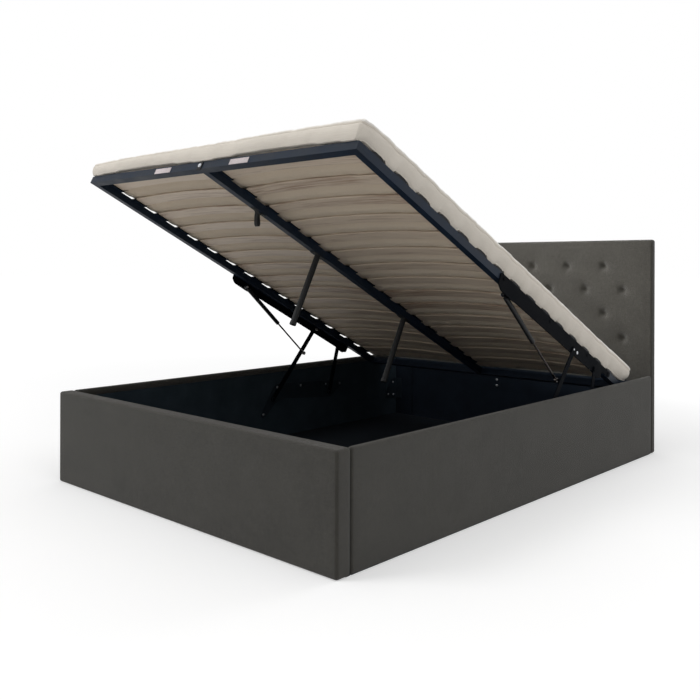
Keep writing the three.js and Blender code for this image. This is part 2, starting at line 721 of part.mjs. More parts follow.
// Corner brackets at the head end: a shaped leg on the side rail, a straight one on the post.
{
  const postFace =
    BASE_LENGTH - 2 * GAP - HEAD_END_PANEL_THICKNESS - HEAD_END_POST_THICKNESS;
  const placed = (shares) =>
    fromShares(
      shares,
      postFace - CORNER_BRACKET_LENGTH,
      CORNER_BRACKET_LENGTH,
      CORNER_BRACKET_BOTTOM,
      CORNER_BRACKET_HEIGHT,
    );
  const outline = roundedOutline(placed(CORNER_BRACKET_OUTLINE_SHARES), PLATE_CORNER);
  const sideLeg = plate(outline, CORNER_PLATE_X, 2);
  const postLeg = box(
    [CORNER_PLATE_X[1] - CORNER_LEG_WIDTH, CORNER_PLATE_X[1]],
    [postFace - CORNER_PLATE_THICKNESS, postFace],
    [
      CORNER_BRACKET_BOTTOM + CORNER_LEG_MARGIN,
      CORNER_BRACKET_BOTTOM + CORNER_BRACKET_HEIGHT - CORNER_LEG_MARGIN,
    ],
  );
  const bolts = placed(CORNER_BRACKET_BOLT_SHARES).map(([y, z]) =>
    crossBar(BRACKET_BOLT_RADIUS, CORNER_BOLT_X, y, z, HEAD_SIDES),
  );
  addPair(base, "corner_bracket", joined([sideLeg, postLeg, ...bolts]), BLACK_STEEL);
}

// Lid frame: a ring of square tube, hollow, with a drain hole in the head tube.
function slatHolder(s, x, pockets) {
  const from = s - HOLDER_LENGTH / 2;
  const to = s + HOLDER_LENGTH / 2;
  const bottom = TUBE_SIZE - JOIN_BITE;
  const top = TUBE_SIZE + HOLDER_HEIGHT;
  const side = [
    [from, bottom],
    [to, bottom],
    [to, top - HOLDER_ROUNDING],
    [to - HOLDER_ROUNDING, top],
    [from + HOLDER_ROUNDING, top],
    [from, top - HOLDER_ROUNDING],
  ];
  const body = plate(roundedOutline(side, HOLDER_ROUNDING), x, HOLDER_SEGMENTS);
  const floor = TUBE_SIZE + HOLDER_FLOOR;
  const half = SLAT_WIDTH / 2 + GAP;
  return without(
    body,
    pockets.map((pocket) => box(pocket, [s - half, s + half], [floor, floor + HOLDER_POCKET_HEIGHT])),
  );
}

function slatRow(row) {
  const span = LID_LENGTH - SLAT_FOOT_MARGIN - SLAT_HEAD_MARGIN;
  return SLAT_FOOT_MARGIN + (row * span) / (SLAT_ROWS - 1);
}

const rowNumbers = Array.from({ length: SLAT_ROWS }, (unused, row) => row);

{
  const half = LID_HALF_WIDTH;
  const inner = half - TUBE_SIZE;
  const wall = TUBE_WALL;
  const outside = box([-half, half], [0, LID_LENGTH], [0, TUBE_SIZE]);
  const middle = box(
    [-inner, inner],
    [TUBE_SIZE, LID_LENGTH - TUBE_SIZE],
    [-GAP, TUBE_SIZE + GAP],
  );
  const hollowOutside = box(
    [-half + wall, half - wall],
    [wall, LID_LENGTH - wall],
    [wall, TUBE_SIZE - wall],
  );
  const hollowInside = box(
    [-inner - wall, inner + wall],
    [TUBE_SIZE - wall, LID_LENGTH - TUBE_SIZE + wall],
    [0, TUBE_SIZE],
  );
  const drain = new THREE.CylinderGeometry(DRAIN_RADIUS, DRAIN_RADIUS, TUBE_SIZE, DRAIN_SIDES);
  drain.rotateX(Math.PI / 2);
  drain.translate(half - DRAIN_FROM_SIDE, LID_LENGTH - TUBE_SIZE / 2, 0);
  const ring = without(outside, [
    middle,
    hollowOutside.subtract(hollowInside),
    solidOf(drain),
  ]);
  const holders = rowNumbers.map((row) =>
    slatHolder(
      slatRow(row),
      [half - HOLDER_REACH, half - HOLDER_OUTER_MARGIN],
      [[half - HOLDER_REACH - GAP, half - HOLDER_POCKET_MARGIN]],
    ),
  );
  const all = holders.flatMap((holder) => [holder, mirrored(holder)]);
  addPiece(lid, "lid_frame", joined([ring, ...all]), DARK_STEEL);
}

// Centre rail with the double holders for the inner slat ends.
{
  const half = TUBE_SIZE / 2;
  const from = TUBE_SIZE + GAP;
  const to = LID_LENGTH - TUBE_SIZE - GAP;
  const outside = box([-half, half], [from, to], [0, TUBE_SIZE]);
  const hollow = box(
    [-half + TUBE_WALL, half - TUBE_WALL],
    [from - GAP, to + GAP],
    [TUBE_WALL, TUBE_SIZE - TUBE_WALL],
  );
  const reach = CENTRE_HOLDER_HALF;
  const holders = rowNumbers.map((row) =>
    slatHolder(
      slatRow(row),
      [-reach, reach],
      [
        [-reach - GAP, -CENTRE_WEB_HALF],
        [CENTRE_WEB_HALF, reach + GAP],
      ],
    ),
  );
  addPiece(lid, "centre_rail", joined([outside.subtract(hollow), ...holders]), DARK_STEEL);
}

// Slats: bent strips whose ends sit in the holders.
const SLAT_INNER_X = CENTRE_WEB_HALF + SLAT_END_CLEARANCE;
const SLAT_OUTER_X = LID_HALF_WIDTH - HOLDER_POCKET_MARGIN - SLAT_END_CLEARANCE;
const SLAT_UNDERSIDE = TUBE_SIZE + HOLDER_FLOOR + GAP;
const SLAT_SPAN = SLAT_OUTER_X - SLAT_INNER_X;
const SLAT_MIDDLE = (SLAT_OUTER_X + SLAT_INNER_X) / 2;
const SLAT_RADIUS = (SLAT_SPAN * SLAT_SPAN) / (8 * SLAT_RISE) + SLAT_RISE / 2;

function slatUnderside(x) {
  const aside = Math.min(Math.abs(Math.abs(x) - SLAT_MIDDLE), SLAT_SPAN / 2);
  const sag = SLAT_RADIUS - Math.sqrt(SLAT_RADIUS * SLAT_RADIUS - aside * aside);
  return SLAT_UNDERSIDE + SLAT_RISE - sag;
}

{
  const under = [];
  const over = [];
  for (let i = 0; i <= SLAT_SEGMENTS; i += 1) {
    const x = SLAT_INNER_X + (SLAT_SPAN * i) / SLAT_SEGMENTS;
    under.push([x, slatUnderside(x)]);
    over.unshift([x, slatUnderside(x) + SLAT_THICKNESS]);
  }
  for (const row of rowNumbers) {
    const s = slatRow(row);
    const slat = profileBar(
      polygon([...under, ...over]),
      [s - SLAT_WIDTH / 2, s + SLAT_WIDTH / 2],
      SLAT_EDGE_ROUNDING,
    );
    const number = String(row + 1).padStart(2, "0");
    addPiece(lid, "slat_right_" + number, slat, SLAT_WOOD);
    addPiece(lid, "slat_left_" + number, mirrored(slat), SLAT_WOOD);
  }
}

// Support legs that stand on the floor panel when the lid is down.
LEG_PLACE_SHARES.forEach((share, i) => {
  const s = share * LID_LENGTH;
  const top = -GAP;
  const bottom = FLOOR_UNDERSIDE + FLOOR_THICKNESS + LEG_FLOOR_CLEARANCE - LID_CLOSED_HEIGHT;
  const profile = [
    [0, bottom],
    [LEG_TIP_RADIUS, bottom],
    [LEG_TIP_RADIUS, bottom + LEG_TIP_LENGTH],
    [LEG_RADIUS, bottom + LEG_TIP_LENGTH],
    [LEG_RADIUS, top - LEG_PLATE_THICKNESS / 2],
    [0, top - LEG_PLATE_THICKNESS / 2],
  ].map(([r, h]) => new THREE.Vector2(r, h));
  const post = new THREE.LatheGeometry(profile, LEG_SIDES);
  post.rotateX(Math.PI / 2);
  post.translate(0, s, 0);
  const foot = box(
    [-LEG_PLATE_WIDTH / 2, LEG_PLATE_WIDTH / 2],
    [s - LEG_PLATE_LENGTH / 2, s + LEG_PLATE_LENGTH / 2],
    [top - LEG_PLATE_THICKNESS, top],
  );
  addPiece(lid, "support_leg_" + LEG_NAMES[i], joined([solidOf(post), foot]), BLACK_PLASTIC);
});

// Pull strap: a band under the rail, folded into a loop that hangs plumb while the lid is open.
{
  const hang = STRAP_LOOP_HALF;
  const rightHalf = [
    ...STRAP_TAB_SHARES.map((share) => [share * STRAP_TAB_LENGTH, 0]),
    ...STRAP_BEND_SHARES.map(([along, up]) => [along * hang, up * hang]),
    [hang, -STRAP_HANG_START],
  ];
  const leftHalf = rightHalf.map(([s, h]) => [-s, h]).reverse();
  const hanging = (across, drop) => [
    across * Math.cos(LID_TURN) + drop * Math.sin(LID_TURN),
    across * Math.sin(LID_TURN) - drop * Math.cos(LID_TURN) - STRAP_HANG_START,
  ];
  const loop = [
    hanging(hang, STRAP_DROP - hang),
    hanging(0, STRAP_DROP),
    hanging(-hang, STRAP_DROP - hang),
  ];
  const spine = [...rightHalf, ...loop, ...leftHalf];
  const level = -GAP - STRAP_THICKNESS / 2;
  const path = new THREE.CatmullRomCurve3(
    spine.map(([s, h]) => new THREE.Vector3(0, STRAP_PLACE + s, level + h)),
    false,
    "centripetal",
  );
  const half = STRAP_WIDTH / 2;
  const thick = STRAP_THICKNESS / 2;
  const band = new THREE.ExtrudeGeometry(
    polygon([
      [-half, -thick],
      [half, -thick],
      [half, thick],
      [-half, thick],
    ]),
    { steps: STRAP_STEPS, bevelEnabled: false, extrudePath: path },
  );
  addPiece(lid, "pull_strap", solidOf(band), WEBBING);
}

// Bracket plates on the lid, with the strut's stud and the pivot heads.
{
  const placed = (shares) =>
    fromShares(
      shares,
      LID_STRUT_PIVOT.s - LID_BRACKET_FOOT_MARGIN,
      LID_BRACKET_LENGTH,
      TUBE_SIZE - LID_BRACKET_TOP_MARGIN - LID_BRACKET_DEPTH,
      LID_BRACKET_DEPTH,
    );
  const outline = roundedOutline(placed(LID_BRACKET_OUTLINE_SHARES), PLATE_CORNER);
  const sheet = plate(outline, LID_BRACKET_X, 2);
  const pinHole = crossBar(
    PIN_RADIUS + PIN_CLEARANCE,
    [LID_BRACKET_X[0] - GAP, LID_BRACKET_X[1] + GAP],
    LID_FRONT_PIVOT.s,
    LID_FRONT_PIVOT.h,
    PIN_SIDES,
  );
  const { s, h } = LID_STRUT_PIVOT;
  const extras = [
    crossBar(STRUT_COLLAR_RADIUS, STUD_COLLAR_X, s, h, HEAD_SIDES),
    crossBar(STRUT_STUD_RADIUS, STUD_X, s, h, HEAD_SIDES),
    crossBar(STRUT_HEAD_RADIUS, STUD_HEAD_X, s, h, HEAD_SIDES),
    crossBar(
      PIN_HEAD_RADIUS,
      REAR_HEAD_INSIDE_X,
      LID_REAR_PIVOT.s,
      LID_REAR_PIVOT.h,
      HEAD_SIDES,
    ),
  ];
  const bolts = placed(LID_BRACKET_BOLT_SHARES).map(([along, up]) =>
    crossBar(BOLT_RADIUS, LID_BOLT_X, along, up, HEAD_SIDES),
  );
  addPair(lid, "lid_bracket", joined([sheet.subtract(pinHole), ...extras, ...bolts]), BLACK_STEEL);
}

// Bracket plates on the side rails, with the two fixed pivots.
{
  const placed = (shares) =>
    fromShares(
      shares,
      FRONT_PIVOT.y - BASE_BRACKET_FOOT_MARGIN,
      BASE_BRACKET_LENGTH,
      RAIL_HEIGHT - BASE_BRACKET_DROP - BASE_BRACKET_DEPTH,
      BASE_BRACKET_DEPTH,
    );
  const outline = roundedOutline(placed(BASE_BRACKET_OUTLINE_SHARES), PLATE_CORNER);
  const sheet = plate(outline, BASE_BRACKET_X, 2);
  const pins = [FRONT_PIVOT, REAR_PIVOT].flatMap(({ y, z }) => [
    crossBar(PIN_RADIUS, [PIVOT_HEAD_X[0], BASE_BRACKET_X[0] + JOIN_BITE], y, z, PIN_SIDES),
    crossBar(PIN_HEAD_RADIUS, PIVOT_HEAD_X, y, z, HEAD_SIDES),
    crossBar(PIN_HEAD_RADIUS, LOW_HEAD_X, y, z, HEAD_SIDES),
  ]);
  const bolts = placed(BASE_BRACKET_BOLT_SHARES).map(([y, z]) =>
    crossBar(BRACKET_BOLT_RADIUS, LOW_HEAD_X, y, z, HEAD_SIDES),
  );
  addPair(lift, "base_bracket", joined([sheet, ...pins, ...bolts]), BLACK_STEEL);
}

// A flat link between two pivots, with round ends and a pin hole at each.
function linkBar(from, to, holes) {
  const turn = Math.atan2(to.z - from.z, to.y - from.y);
  const quarter = Math.PI / 2;
  const shape = new THREE.Shape();
  shape.absarc(from.y, from.z, LINK_HALF_WIDTH, turn + quarter, turn + 3 * quarter, false);
  shape.absarc(to.y, to.z, LINK_HALF_WIDTH, turn - quarter, turn + quarter, false);
  shape.closePath();
  for (const end of holes) {
    const hole = new THREE.Path();
    hole.absarc(end.y, end.z, PIN_RADIUS + PIN_CLEARANCE, 0, 4 * quarter, true);
    shape.holes.push(hole);
  }
  return plate(shape, LINK_X, LINK_ARC_STEPS);
}

{
  const stud = crossBar(LINK_STUD_RADIUS, LINK_STUD_X, STRUT_FOOT.y, STRUT_FOOT.z, HEAD_SIDES);
  const pin = crossBar(
    PIN_RADIUS,
    [LID_PIN_HEAD_X[0], LINK_X[0] + JOIN_BITE],
    FRONT_TOP.y,
    FRONT_TOP.z,
    PIN_SIDES,
  );
  const head = crossBar(PIN_HEAD_RADIUS, LID_PIN_HEAD_X, FRONT_TOP.y, FRONT_TOP.z, HEAD_SIDES);
  const bar = linkBar(FRONT_PIVOT, FRONT_TOP, [FRONT_PIVOT]);
  addPair(lift, "front_link", joined([bar, stud, pin, head]), BLACK_STEEL);
}

{
  const blind = crossBar(PIN_HEAD_RADIUS, REAR_HEAD_OUTSIDE_X, REAR_TOP.y, REAR_TOP.z, HEAD_SIDES);
  const bar = linkBar(REAR_PIVOT, REAR_TOP, [REAR_PIVOT]);
  addPair(lift, "rear_link", joined([bar, blind]), BLACK_STEEL);
}

// Gas struts: turned about their axis, then laid from the lid's stud to the link's stud.
const STRUT_TURN = Math.atan2(STRUT_FOOT.z - STRUT_TOP.z, STRUT_FOOT.y - STRUT_TOP.y);

function turned(profile) {
  const geometry = new THREE.LatheGeometry(
    profile.map(([r, along]) => new THREE.Vector2(r, along)),
    ROUND_SIDES,
  );
  geometry.rotateX(STRUT_TURN);
  geometry.translate(STRUT_AXIS_X, STRUT_TOP.y, STRUT_TOP.z);
  return solidOf(geometry);
}

function strutEye(centre) {
  return crossBar(STRUT_EYE_RADIUS, STRUT_EYE_X, centre.y, centre.z, ROUND_SIDES);
}

function eyeHole(centre, radius) {
  const reach = [STRUT_EYE_X[0] - GAP, STRUT_EYE_X[1] + GAP];
  return crossBar(radius, reach, centre.y, centre.z, ROUND_SIDES);
}

{
  const shell = turned([
    [0, CYLINDER_START],
    [CYLINDER_RADIUS - CYLINDER_CHAMFER, CYLINDER_START],
    [CYLINDER_RADIUS, CYLINDER_START + CYLINDER_CHAMFER],
    [CYLINDER_RADIUS, CYLINDER_END - CYLINDER_CHAMFER],
    [CYLINDER_RADIUS - CYLINDER_CHAMFER, CYLINDER_END],
    [CYLINDER_BORE, CYLINDER_END],
    [CYLINDER_BORE, BORE_START],
    [0, BORE_START],
  ]);
  const neck = turned([
    [0, STRUT_NECK_START],
    [STRUT_NECK_RADIUS, STRUT_NECK_START],
    [STRUT_NECK_RADIUS, CYLINDER_START + JOIN_BITE],
    [0, CYLINDER_START + JOIN_BITE],
  ]);
  const hole = eyeHole(STRUT_TOP, STRUT_STUD_RADIUS + PIN_CLEARANCE);
  addPair(lift, "strut_cylinder", joined([shell, neck, strutEye(STRUT_TOP)]).subtract(hole), GAS_CYLINDER);
}

{
  const rod = turned([
    [0, ROD_INNER_END],
    [ROD_RADIUS - ROD_CHAMFER, ROD_INNER_END],
    [ROD_RADIUS, ROD_INNER_END + ROD_CHAMFER],
    [ROD_RADIUS, STRUT_LENGTH - STRUT_NECK_START],
    [0, STRUT_LENGTH - STRUT_NECK_START],
  ]);
  const hole = eyeHole(STRUT_FOOT, LINK_STUD_RADIUS + PIN_CLEARANCE);
  addPair(lift, "strut_rod", joined([rod, strutEye(STRUT_FOOT)]).subtract(hole), ROD_STEEL);
}

// Mattress: a soft block whose underside follows the slats; its foot end is lower on the far side.
const MATTRESS_HALF_WIDTH = LID_HALF_WIDTH + MATTRESS_SIDE_OVERHANG;
const MATTRESS_FOOT_S = -MATTRESS_FOOT_OVERHANG;
const MATTRESS_HEAD_S = LID_LENGTH + MATTRESS_HEAD_OVERHANG;
const MATTRESS_BED = TUBE_SIZE + HOLDER_HEIGHT + MATTRESS_REST_GAP;

function roundedPlan(u, v) {
  const halfWidth = MATTRESS_HALF_WIDTH;
  const halfLength = (MATTRESS_HEAD_S - MATTRESS_FOOT_S) / 2;
  const r = MATTRESS_CORNER;
  const x = u * halfWidth;
  const y = v * halfLength;
  const dx = Math.max(Math.abs(x) - (halfWidth - r), 0) / r;
  const dy = Math.max(Math.abs(y) - (halfLength - r), 0) / r;
  const pulledX = Math.abs(x) - dx * r + r * dx * Math.sqrt(1 - (dy * dy) / 2);
  const pulledY = Math.abs(y) - dy * r + r * dy * Math.sqrt(1 - (dx * dx) / 2);
  return [Math.sign(x) * pulledX, Math.sign(y) * pulledY];
}

function mattressUnderside(x) {
  return Math.max(MATTRESS_BED, slatUnderside(x) + SLAT_THICKNESS + MATTRESS_REST_GAP);
}

function mattressTop(x, s) {
  const along = (s - MATTRESS_FOOT_S) / (MATTRESS_HEAD_S - MATTRESS_FOOT_S);
  const gain = MATTRESS_HEAD_THICKNESS - MATTRESS_FOOT_THICKNESS;
  const level = MATTRESS_BED + MATTRESS_FOOT_THICKNESS + gain * along;
  const across = x / MATTRESS_HALF_WIDTH;
  const tilt = MATTRESS_FOOT_TILT * across * (1 - along);
  const near = Math.max(0, 1 - (s - MATTRESS_FOOT_S) / MATTRESS_FOOT_DROP_REACH);
  const drop = MATTRESS_FOOT_DROP * near * near;
  const wave = Math.sin((2 * Math.PI * s) / MATTRESS_WAVE_LENGTH + (2 * Math.PI * x) / BED_WIDTH);
  return level + tilt - drop + MATTRESS_CROWN * (1 - across * across) + MATTRESS_WAVE * wave;
}

{
  const columns = MATTRESS_COLUMNS;
  const rows = MATTRESS_ROWS;
  const middle = (MATTRESS_FOOT_S + MATTRESS_HEAD_S) / 2;
  const spots = [];
  const faces = [];
  const shareOf = (i, count) => -1 + (2 * i) / count;
  const planAt = (i, j) => roundedPlan(shareOf(i, columns), shareOf(j, rows));
  const sheetOf = (inset, heightOf) => {
    const start = spots.length / 3;
    for (let j = 0; j <= rows; j += 1) {
      for (let i = 0; i <= columns; i += 1) {
        const [x, y] = planAt(i, j);
        const px = x * (1 - inset / MATTRESS_HALF_WIDTH);
        const ps = middle + y * (1 - inset / (MATTRESS_HEAD_S - middle));
        spots.push(px, ps, heightOf(px, ps));
      }
    }
    return start;
  };
  const at = (start, i, j) => start + j * (columns + 1) + i;
  const bottomSheet = sheetOf(MATTRESS_EDGE * MATTRESS_BOTTOM_INSET_SHARE, mattressUnderside);
  const topSheet = sheetOf(MATTRESS_EDGE, mattressTop);
  for (let j = 0; j < rows; j += 1) {
    for (let i = 0; i < columns; i += 1) {
      const [a, b, c, d] = [
        [i, j],
        [i + 1, j],
        [i + 1, j + 1],
        [i, j + 1],
      ];
      faces.push(at(topSheet, ...a), at(topSheet, ...b), at(topSheet, ...c));
      faces.push(at(topSheet, ...a), at(topSheet, ...c), at(topSheet, ...d));
      faces.push(at(bottomSheet, ...a), at(bottomSheet, ...c), at(bottomSheet, ...b));
      faces.push(at(bottomSheet, ...a), at(bottomSheet, ...d), at(bottomSheet, ...c));
    }
  }
  const rim = [];
  for (let i = 0; i < columns; i += 1) rim.push([i, 0]);
  for (let j = 0; j < rows; j += 1) rim.push([columns, j]);
  for (let i = columns; i > 0; i -= 1) rim.push([i, rows]);
  for (let j = rows; j > 0; j -= 1) rim.push([0, j]);
  const rings = [rim.map(([i, j]) => at(bottomSheet, i, j))];
  for (const [insetShare, heightShare] of MATTRESS_SIDE_RING_SHARES) {
    const ring = rim.map(([i, j]) => {
      const [x, y] = planAt(i, j);
      const inset = MATTRESS_EDGE * insetShare;
      const px = x * (1 - inset / MATTRESS_HALF_WIDTH);
      const ps = middle + y * (1 - inset / (MATTRESS_HEAD_S - middle));
      const low = mattressUnderside(px);
      const high = mattressTop(px, ps);
      spots.push(px, ps, low + (high - low) * heightShare);
      return spots.length / 3 - 1;
    });
    rings.push(ring);
  }
  rings.push(rim.map(([i, j]) => at(topSheet, i, j)));
  for (let k = 0; k < rings.length - 1; k += 1) {
    rim.forEach((unused, i) => {
      const next = (i + 1) % rim.length;
      faces.push(rings[k][i], rings[k][next], rings[k + 1][next]);
      faces.push(rings[k][i], rings[k + 1][next], rings[k + 1][i]);
    });
  }
  const block = new THREE.BufferGeometry()
    .setAttribute("position", new THREE.BufferAttribute(new Float32Array(spots), 3))
    .setIndex(faces);
  addPiece(lid, "mattress", solidOf(block), TICKING);
}

export default bed;
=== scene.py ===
"""Ottoman storage bed: its looks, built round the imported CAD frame. Metres, in the row frame."""
import json
import math

import bmesh
import bpy
import numpy as np
from mathutils import Matrix, Vector, noise

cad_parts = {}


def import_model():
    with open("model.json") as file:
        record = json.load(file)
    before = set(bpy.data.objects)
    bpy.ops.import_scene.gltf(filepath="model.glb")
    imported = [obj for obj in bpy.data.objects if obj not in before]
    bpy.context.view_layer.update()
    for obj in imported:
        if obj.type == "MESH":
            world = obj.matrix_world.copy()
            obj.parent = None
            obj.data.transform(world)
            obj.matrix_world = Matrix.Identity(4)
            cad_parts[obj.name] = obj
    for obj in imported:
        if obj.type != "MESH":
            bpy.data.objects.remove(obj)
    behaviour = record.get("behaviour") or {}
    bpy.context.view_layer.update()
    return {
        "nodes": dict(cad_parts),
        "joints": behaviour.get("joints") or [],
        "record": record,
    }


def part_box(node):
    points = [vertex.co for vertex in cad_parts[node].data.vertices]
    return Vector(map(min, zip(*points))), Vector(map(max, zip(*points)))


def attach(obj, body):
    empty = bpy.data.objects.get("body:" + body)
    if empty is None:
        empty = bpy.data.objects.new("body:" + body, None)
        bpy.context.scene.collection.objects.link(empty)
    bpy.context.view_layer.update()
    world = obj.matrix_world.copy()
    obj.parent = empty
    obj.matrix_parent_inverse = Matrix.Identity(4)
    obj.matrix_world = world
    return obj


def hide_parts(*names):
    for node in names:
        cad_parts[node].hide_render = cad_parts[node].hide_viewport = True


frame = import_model()
NODES = frame["nodes"]

# Camera, fitted to the photograph.
CAMERA_PLACE = Vector((2.4144, -2.8102, 0.9011))
CAMERA_AZIMUTH = math.radians(42.752)
CAMERA_ROLL = math.radians(0.156)
IMAGE_PIXELS = 700
FOCAL_PIXELS = 821.4
HORIZON_PIXEL = 265.7
SENSOR = 36

# The open lid: s runs from its foot edge to its head edge, h stands square on its plane.
LID_TURN = math.radians(26.88)
ALONG = Vector((0, math.cos(LID_TURN), -math.sin(LID_TURN)))
UP = Vector((0, math.sin(LID_TURN), math.cos(LID_TURN)))
TUBE_TOP = 0.0303

# Least length and area to divide by.
TINY = 1e-9
TINY_AREA = 1e-12

# Upholstery.
COVER_ROUNDING = 0.0105
COVER_STEP = 0.022
COVER_FINE = 3
COVER_BULGE = 0.0016
COVER_RIPPLE = 0.0009
COVER_WAVE_SIZE = 0.16
COVER_FINE_WAVE_SIZE = 0.07
COVER_FINE_WAVE_SHARE = 0.5
FINE_WAVE_SEED_SHIFT = 5
COVER_DOME_POWERS = (6, 2)
BOARD_SLACK = 0.0003

# Headboard.
TUFT_PITCH = 0.200
TUFT_ROW_PITCH = 0.118
TUFT_ROWS = 4
TUFT_PER_ROW = 7
TUFT_TOP_MARGIN = 0.132
TUFT_SHIFT = 0.050
TUFT_DEPTH = 0.023
TUFT_WIDE = 0.036
TUFT_NARROW = 0.0192
TUFT_NARROW_SHARE = 0.88
PLEAT_HEIGHT = 0.0009
PLEAT_REACH = 0.026
PLEAT_WIDTH = 0.016
PLEAT_TABLE = ((1, 5, 1.9), (0.5, 8, 0.7))
TUFT_HELD = 0.030
HEADBOARD_PRESSURE = 2.0
HEADBOARD_SLACK = 0.0
HEADBOARD_CAP = 0.004
HEADBOARD_ROUNDING = 0.012
HEADBOARD_STEP = 0.009
HEADBOARD_RIPPLE_SHARE = 0.6
HEADBOARD_WAVE_SIZE = 0.09
HEADBOARD_FINE = 3
HEADBOARD_FRONT_SHARE = 0.999
BUTTON_RADIUS = 0.0075
BUTTON_HEIGHT = 0.0035
BUTTON_SINK = 0.0012
BUTTON_PROFILE_SHARES = ((0.55, 0), (1, 0.25), (0.97, 0.5), (0.78, 0.84), (0.42, 1))

# Cloth simulation.
CLOTH_FRAMES = 20
CLOTH_MASS = 0.3
CLOTH_TENSION = 12
CLOTH_BENDING = 1.5

# Mattress, in lid places: heights are measured square on the lid.
MATTRESS_ROUNDING = 0.015
MATTRESS_STEP = 0.012
MATTRESS_NOMINAL = 0.075
MATTRESS_FINE = 6
MATTRESS_LAYERS_BELOW = 18
MATTRESS_LAYERS_ABOVE = 26
MATTRESS_FINE_FROM = 0.70
MATTRESS_REST_GAP = 0.001
MATTRESS_FOOT_THICKNESS = 0.062
MATTRESS_HEAD_THICKNESS = 0.088
MATTRESS_FOOT_TILT = 0.008
MATTRESS_FOOT_DROP = 0.012
MATTRESS_FOOT_DROP_REACH = 0.170
MATTRESS_CROWN = 0.006
MATTRESS_SIDE_BULGE = 0.004
MATTRESS_RIPPLE = 0.0024
MATTRESS_SAG = 0.0075
MATTRESS_RIGHT_HANG = 0.0135
MATTRESS_LEFT_HANG = 0.0035
MATTRESS_EDGE_REACH = 0.050
MATTRESS_EDGE_CATCH = 0.012
MATTRESS_FOOT_DROOP = 0.0148
MATTRESS_FOOT_DROOP_FROM = 0.031
MATTRESS_HEAD_LIFT = 0.022
MATTRESS_HEAD_LIFT_REACH = 0.075
MATTRESS_HEAD_ROUND = 0.018
MATTRESS_HEAD_ROUND_REACH = 0.050
MATTRESS_SAG_RISE = 0.033
MATTRESS_LUMP_SIZE = 0.22
MATTRESS_RIPPLE_SIZE = 0.07
MATTRESS_BOTTOM_LEVEL = 0.02
MATTRESS_HELD_LEVEL = 0.05
MATTRESS_TOP_LEVEL = 0.99
LEVEL_SHARE_IN_NOISE = 0.05
SLAT_COUNT = 15
MIDDLE_SLAT = "slat_right_08"
SLAT_HALF_WIDTH = 0.0285
SLAT_SAMPLES = 25
SLAT_SAMPLE_REACH = 0.07
HOLDER_HALF_LENGTH = 0.033
RIM_LEVEL = 0.87
RIM_SIZE = 0.0040
RIM_WIDTH = 0.07
SEAM_LEVEL = 0.72
SEAM_DEPTH = 0.0026
SEAM_WIDTH = 0.026
SIDE_TUCK = 0.014
FOOT_TUCK = 0.008
FOOT_LEAN = 0.016
LOWER_TUCK_LEVEL = 0.68
CREASE_DEPTH = 0.0048
CREASE_SIZE = 0.022
CREASE_LENGTH_SHARE = 0.25
PUCKER_SIZE = 0.016
PUCKER_SHARE = 0.5
# Levels of the lighter rim band: edge binding, and partly a painted highlight along the rim.
TAPE_AND_HIGHLIGHT_LEVELS = (0.80, 0.95)
BASE_CLOTH_INDEX = 1
TAPE_AND_HIGHLIGHT_INDEX = 2
MATTRESS_PRESSURE = 3.0
MATTRESS_SLACK = 0.001
MATTRESS_CAP = 0.006
QUILT_PITCH = 0.190
QUILT_DEPTH = 0.0035
QUILT_WIDTH = 0.010
QUILT_HELD = 0.8
QUILT_MARGIN = 0.05
QUILT_FADE = 0.03
BASE_CLOTH_MARGIN = 0.020

# Pull strap.
STRAP_ROUNDING = 0.0007
STRAP_MERGE = 1e-5
STRAP_FLAT_DEGREES = 1
STRAP_EDGE_DEGREES = 60

# Small fittings.
PAD_SIZE = (0.100, 0.022, 0.0016)
PAD_MIDDLES = (-0.238, 0.213)
PAD_LEVEL = 0.012
CLIP_X = -0.006
CLIP_HALF_WIDTH = 0.013
CLIP_LEVELS = (-0.006, 0.029)
CLIP_THICKNESS = 0.003
CLIP_BOLT_LEVEL = 0.013
BOLT_RADIUS = 0.0055
BOLT_HEIGHT = 0.0035
FITTING_GAP = 0.0003
PAD_ROUNDING = 0.0006
CLIP_ROUNDING = 0.0012
WASHER_THICKNESS = 0.0012
WASHER_PROFILE_SHARES = ((1.45, 0), (1.5, 0.25), (1.5, 0.75), (1.4, 1))
HEAD_PROFILE_SHARES = ((1, 0.8), (0.86, 1))
ROUND_SIDES = 20
HEX_SIDES = 6
BOX_FINE = 2

# Screws and bolts on the brackets, the pivots and the head end.
SCREW_RADIUS = 0.0045
SCREW_HEIGHT = 0.0028
LOW_HEAD_PLANE = 0.7729
CORNER_HEAD_PLANE = 0.7706
LID_BOLT_AWAY = (0.030, -0.016)
PLANE_SLACK = 0.0002
HEAD_SPAN = 0.022
HEAD_CORNERS = 8
END_PANEL_THICKNESS = 0.010
END_PANEL_SCREWS = ((-0.064, 0.275), (-0.064, 0.243), (-0.160, 0.314))
STRUT_BOLT_RADIUS = 0.0045
STRUT_BOLT_HEIGHT = 0.003

# Floor, which a camera sees as white, and lamps. Powers are in watts and spreads in degrees.
FLOOR_HALF = 60.0
FLOOR_TONE = 0.8
FLOOR_NEAR = 2.0
FLOOR_FAR = 7.0
FLOOR_GLOW_NEAR = 0.30
FLOOR_GLOW_FAR = 0.72
KEY = {"place": (-2.4, -4.6, 4.0), "size": 2.4, "power": 112}
FILL = {"place": (4.4, -1.7, 3.6), "size": 3.0, "power": 42}
HEAD = {"place": (-1.3, -0.4, 2.1), "size": 0.4, "power": 3.4, "spread": 32}
TOP = {"place": (0.2, -0.3, 4.6), "size": 3.6, "power": 60}
BACK = {"place": (1.5, 5.2, 3.2), "size": 3.0, "power": 60}
AIM = Vector((0, 0, 0.5))
HEAD_AIM = Vector((0.50, 1.07, 0.92))
WORLD_LIGHT = 0.4


